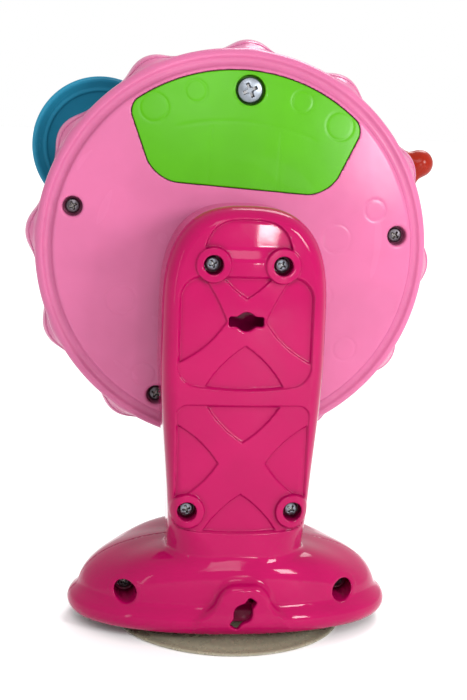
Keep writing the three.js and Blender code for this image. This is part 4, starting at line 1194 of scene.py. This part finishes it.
def add_batteries():
    end = BATTERY_HALF
    cell = [
        (0, -end), (5.6, -end), (6.0, -end + 0.25), (6.5, -end), (7, -end + 0.6), (7, end - 1.0),
        (6.7, end - 0.3), (6.2, end), (5.4, end - 0.3), (2.75, end - 0.3), (2.75, end + 1.2),
        (2.3, end + 1.5), (0, end + 1.5),
    ]
    mesh = turned("cell", cell, 64, 0.25)
    for name, side, z in (("battery_upper", 1, BATTERY_Z[1]), ("battery_lower", -1, BATTERY_Z[0])):
        place = moved(moved(WHEEL_PLACE, x=side * BATTERY_X, y=BATTERY_Y, z=z), turn=-90 * side, axis="Z")
        add_piece(f"{name}_cell", mesh, BATTERY, place, "wheel", name)
    low_z, high_z = BATTERY_Z
    for name, x, z, half_z in (
        ("contact_bridge", -PLATE_X, (low_z + high_z) / 2, 13.15),
        ("contact_positive", PLATE_X, high_z, 6),
        ("contact_negative", PLATE_X, low_z, 6),
    ):
        mesh = surface_of(name, plate_field(half_z), (-1, -9, -half_z - 0.8), (1, 5, half_z + 0.8), 0.24)
        place = moved(WHEEL_PLACE, x=x, z=z, turn=0 if x > 0 else 180)
        add_piece(f"{name}_plate", mesh, NICKEL, place, "wheel", name)
    spring = coil("spring", 4.2, 4.6, 3.0, 0.4)
    for name, x, z in (("battery_spring_upper", -27.5, high_z), ("battery_spring_lower", 27.5, low_z)):
        place = moved(moved(WHEEL_PLACE, x=x, y=BATTERY_Y, z=z), turn=math.copysign(90, x), axis="Z")
        add_piece(f"{name}_coil", spring, NICKEL, place, "wheel", name)


SOLDER_JOINTS = [
    (-18, 4), (-15.5, 4), (-13, 4), (18, -3), (15.5, -3), (13, -3), (4, 16), (-4, 16), (9, 9), (-9, 9),
]


def board_field(x, y, z):
    """A round board, flat along its lower side, with solder joints on its rear."""
    r = np.hypot(x, z)
    across = np.abs(y - (BOARD_FRONT + BOARD_BACK) / 2) - (BOARD_BACK - BOARD_FRONT) / 2
    made = rounded(rounded(r - BOARD_R, -19.7 - z, 1.5), across, 0.15)
    for at in BOARD_POSTS:
        made = cut(made, rod(x, y, z, 1.4, -20, -10, at), 0.1)
    for at_x, at_z in SOLDER_JOINTS:
        made = join(made, np.hypot(np.hypot(x - at_x, z - at_z), y - BOARD_BACK + 0.3) - 0.8, 0.4)
    return made


def chip_field(x, y, z):
    """A square chip with legs on two sides and a dimple by its first leg."""
    made = block(x, y, z, (-4.4, -0.6, -5.4), (4.4, 0.6, 5.4), 0.25)
    for i in range(7):
        at = (i - 3) * 1.5
        leg = block(np.abs(x), y, z, (3.8, -0.55, at - 0.3), (5.45, -0.1, at + 0.3), 0.15)
        made = join(made, leg, 0.1)
    return cut(made, np.sqrt((x + 3) ** 2 + (y - 1) ** 2 + (z - 4) ** 2) - 0.8, 0.1)


def press_field(x, y, z):
    """A tactile switch: square case, four rivets and a round plunger."""
    made = block(x, y, z, (-3, -17.9, -3), (3, -15.9, 3), 0.3)
    rivets = np.hypot(np.hypot(np.abs(x) - 2.2, np.abs(z) - 2.2), y + 17.9) - 0.45
    made = join(made, rivets, 0.1)
    return join(made, rod(x, y, z, 1.7, -19, -17, edge=0.3), 0.1)


def add_electronics():
    mesh = surface_of("board", board_field, (-28, -17, -21), (28, -12.4, 28), 0.4)
    add_piece("board_laminate", mesh, BOARD, WHEEL_PLACE, "wheel", "circuit_board")
    mesh = surface_of("chip", chip_field, (-6, -1.4, -6), (6, 1.4, 6), 0.2)
    add_piece("sound_chip_case", mesh, BLACK, moved(WHEEL_PLACE, y=-13.1, z=-14), "wheel", "sound_chip")
    mesh = surface_of("press", press_field, (-4, -19.8, -4), (4, -15, 4), 0.2)
    add_piece("press_switch_case", mesh, BLACK, WHEEL_PLACE, "wheel", "press_switch")
    lamp = [(0, 0), (2.9, 0), (2.9, -1), (2.5, -1.1), (2.5, -3), (2.2, -3.9), (1.4, -4.6), (0, -4.8)]
    mesh = turned("lamp", lamp, 48, 0.3)
    for name, x in (("led_left", 10), ("led_right", -10)):
        place = moved(WHEEL_PLACE, x=x, y=-15.9)
        add_piece(f"{name}_lens", mesh, LENS, place, "wheel", name)
    can = [
        (0, -4.2), (1.4, -4.2), (1.6, -4.5), (2.2, -4.5), (2.2, 3.2), (2.0, 3.5), (2.2, 3.8), (2.2, 4.5),
        (1.2, 4.5), (1.0, 4.2), (0, 4.2),
    ]
    place = moved(moved(WHEEL_PLACE, y=-18.2, z=13), turn=90, axis="Z")
    add_piece("motion_sensor_can", turned("can", can, 48, 0.2), NICKEL, place, "wheel", "motion_sensor")
    inner = FACE_Y + WHEEL_WALL + 0.4
    basket = [
        (0, 4), (6, 4), (12.6, 1), (13, 0), (16, 0), (16, 1.6), (14.4, 2), (11.5, 4.2), (9.3, 5), (9, 6),
        (9, 7.6), (8.6, 8), (9, 8.4), (9, 10), (2, 10), (1.6, 9.5), (0, 9.5),
    ]
    cone = [
        (0, 2.2), (1.6, 2.3), (3, 2.8), (3.4, 2.5), (10.2, 0.5), (11.2, -0.05), (11.9, 0.35), (12.4, 0.1),
        (12.3, 0.7), (11.3, 0.6), (5.6, 3.6), (0, 3.6),
    ]
    place = moved(WHEEL_PLACE, x=SPEAKER_SPOT.x, y=inner, z=SPEAKER_SPOT.z)
    add_piece("speaker_basket", turned("basket", basket, 96), NICKEL, place, "wheel", "speaker")
    add_piece("speaker_membrane", turned("cone", cone, 96, 0.2), BLACK, place, "wheel", "speaker_cone")


# ---------------------------------------------------------------- stage, lights and camera
CAMERA_PLACE = Vector((62.4, 483.2, 184.7)) * 0.001
CAMERA_YAW, CAMERA_PITCH, CAMERA_ROLL = (math.radians(a) for a in (7.06, 9.70, 2.01))
CAMERA_SENSOR = 36  # millimetres, along the picture's height
CAMERA_FOCAL = 66.857


def add_camera():
    ahead = Vector((
        -math.sin(CAMERA_YAW) * math.cos(CAMERA_PITCH),
        -math.cos(CAMERA_YAW) * math.cos(CAMERA_PITCH),
        -math.sin(CAMERA_PITCH),
    ))
    right = ahead.cross(Vector((0, 0, 1))).normalized()
    up = right.cross(ahead)
    c, s = math.cos(CAMERA_ROLL), math.sin(CAMERA_ROLL)
    right, up = right * c + up * s, up * c - right * s
    data = bpy.data.cameras.new("camera")
    data.lens = CAMERA_FOCAL
    data.sensor_width = CAMERA_SENSOR
    camera = bpy.data.objects.new("camera", data)
    turned_to = Matrix((right, up, -ahead)).transposed().to_4x4()
    camera.matrix_world = Matrix.Translation(CAMERA_PLACE) @ turned_to
    bpy.context.scene.collection.objects.link(camera)
    bpy.context.scene.camera = camera


def add_light(name, place, target, size, watts):
    data = bpy.data.lights.new(name, "AREA")
    data.shape = "RECTANGLE"
    data.size, data.size_y = size
    data.energy = watts
    light = bpy.data.objects.new(name, data)
    light.location = place
    light.rotation_euler = (Vector(target) - Vector(place)).to_track_quat("-Z", "Y").to_euler()
    bpy.context.scene.collection.objects.link(light)


def add_stage():
    bpy.ops.mesh.primitive_plane_add(size=60, location=(0, 0, 0))
    floor = bpy.context.object
    floor.name = "floor"
    material, tree, shader = material_nodes("floor_white")
    tone = remap(tree, noise(tree, 3, 3), 0.3, 0.7, 0.93, 0.95)
    wire(tree, shader, {"Base Color": tone, "Roughness": 0.6})
    floor.data.materials.append(material)
    floor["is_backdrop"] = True
    world = bpy.data.worlds.new("studio")
    world.use_nodes = True
    wire(world.node_tree, world.node_tree.nodes["Background"], {"Color": (1, 1, 1, 1), "Strength": 1.0})
    bpy.context.scene.world = world
    bpy.context.scene.view_settings.view_transform = "Standard"
    target = (0, 0.02, 0.12)
    add_light("key", (-0.46, 0.62, 0.34), target, (0.16, 0.22), 4.3)
    add_light("fill", (0.85, 0.7, 0.20), target, (0.06, 0.40), 0.4)
    add_light("upper", (0.02, 0.60, 0.46), target, (0.25, 0.25), 1.3)
    add_light("window", (-0.16, 0.91, 0.088), (-0.01, 0.06, 0.14), (0.06, 0.04), 0.6)
    front = bpy.data.lights.new("front", "SUN")
    front.energy = 1.7
    front.angle = math.radians(30)
    lamp = bpy.data.objects.new("front", front)
    lamp.rotation_euler = Vector((0.5, 1.0, -1.3)).to_track_quat("-Z", "Y").to_euler()
    bpy.context.scene.collection.objects.link(lamp)


add_camera()
add_stand()
add_wheel()
add_all_screws()
add_cup()
add_axle()
add_playthings()
add_button()
add_switch()
add_batteries()
add_electronics()
add_stage()

visual_low, visual_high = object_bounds()
boxes = {"cad": [CAD_LOW, CAD_HIGH], "visual": [visual_low, visual_high]}
{key: [list(corner) for corner in pair] for key, pair in boxes.items()}
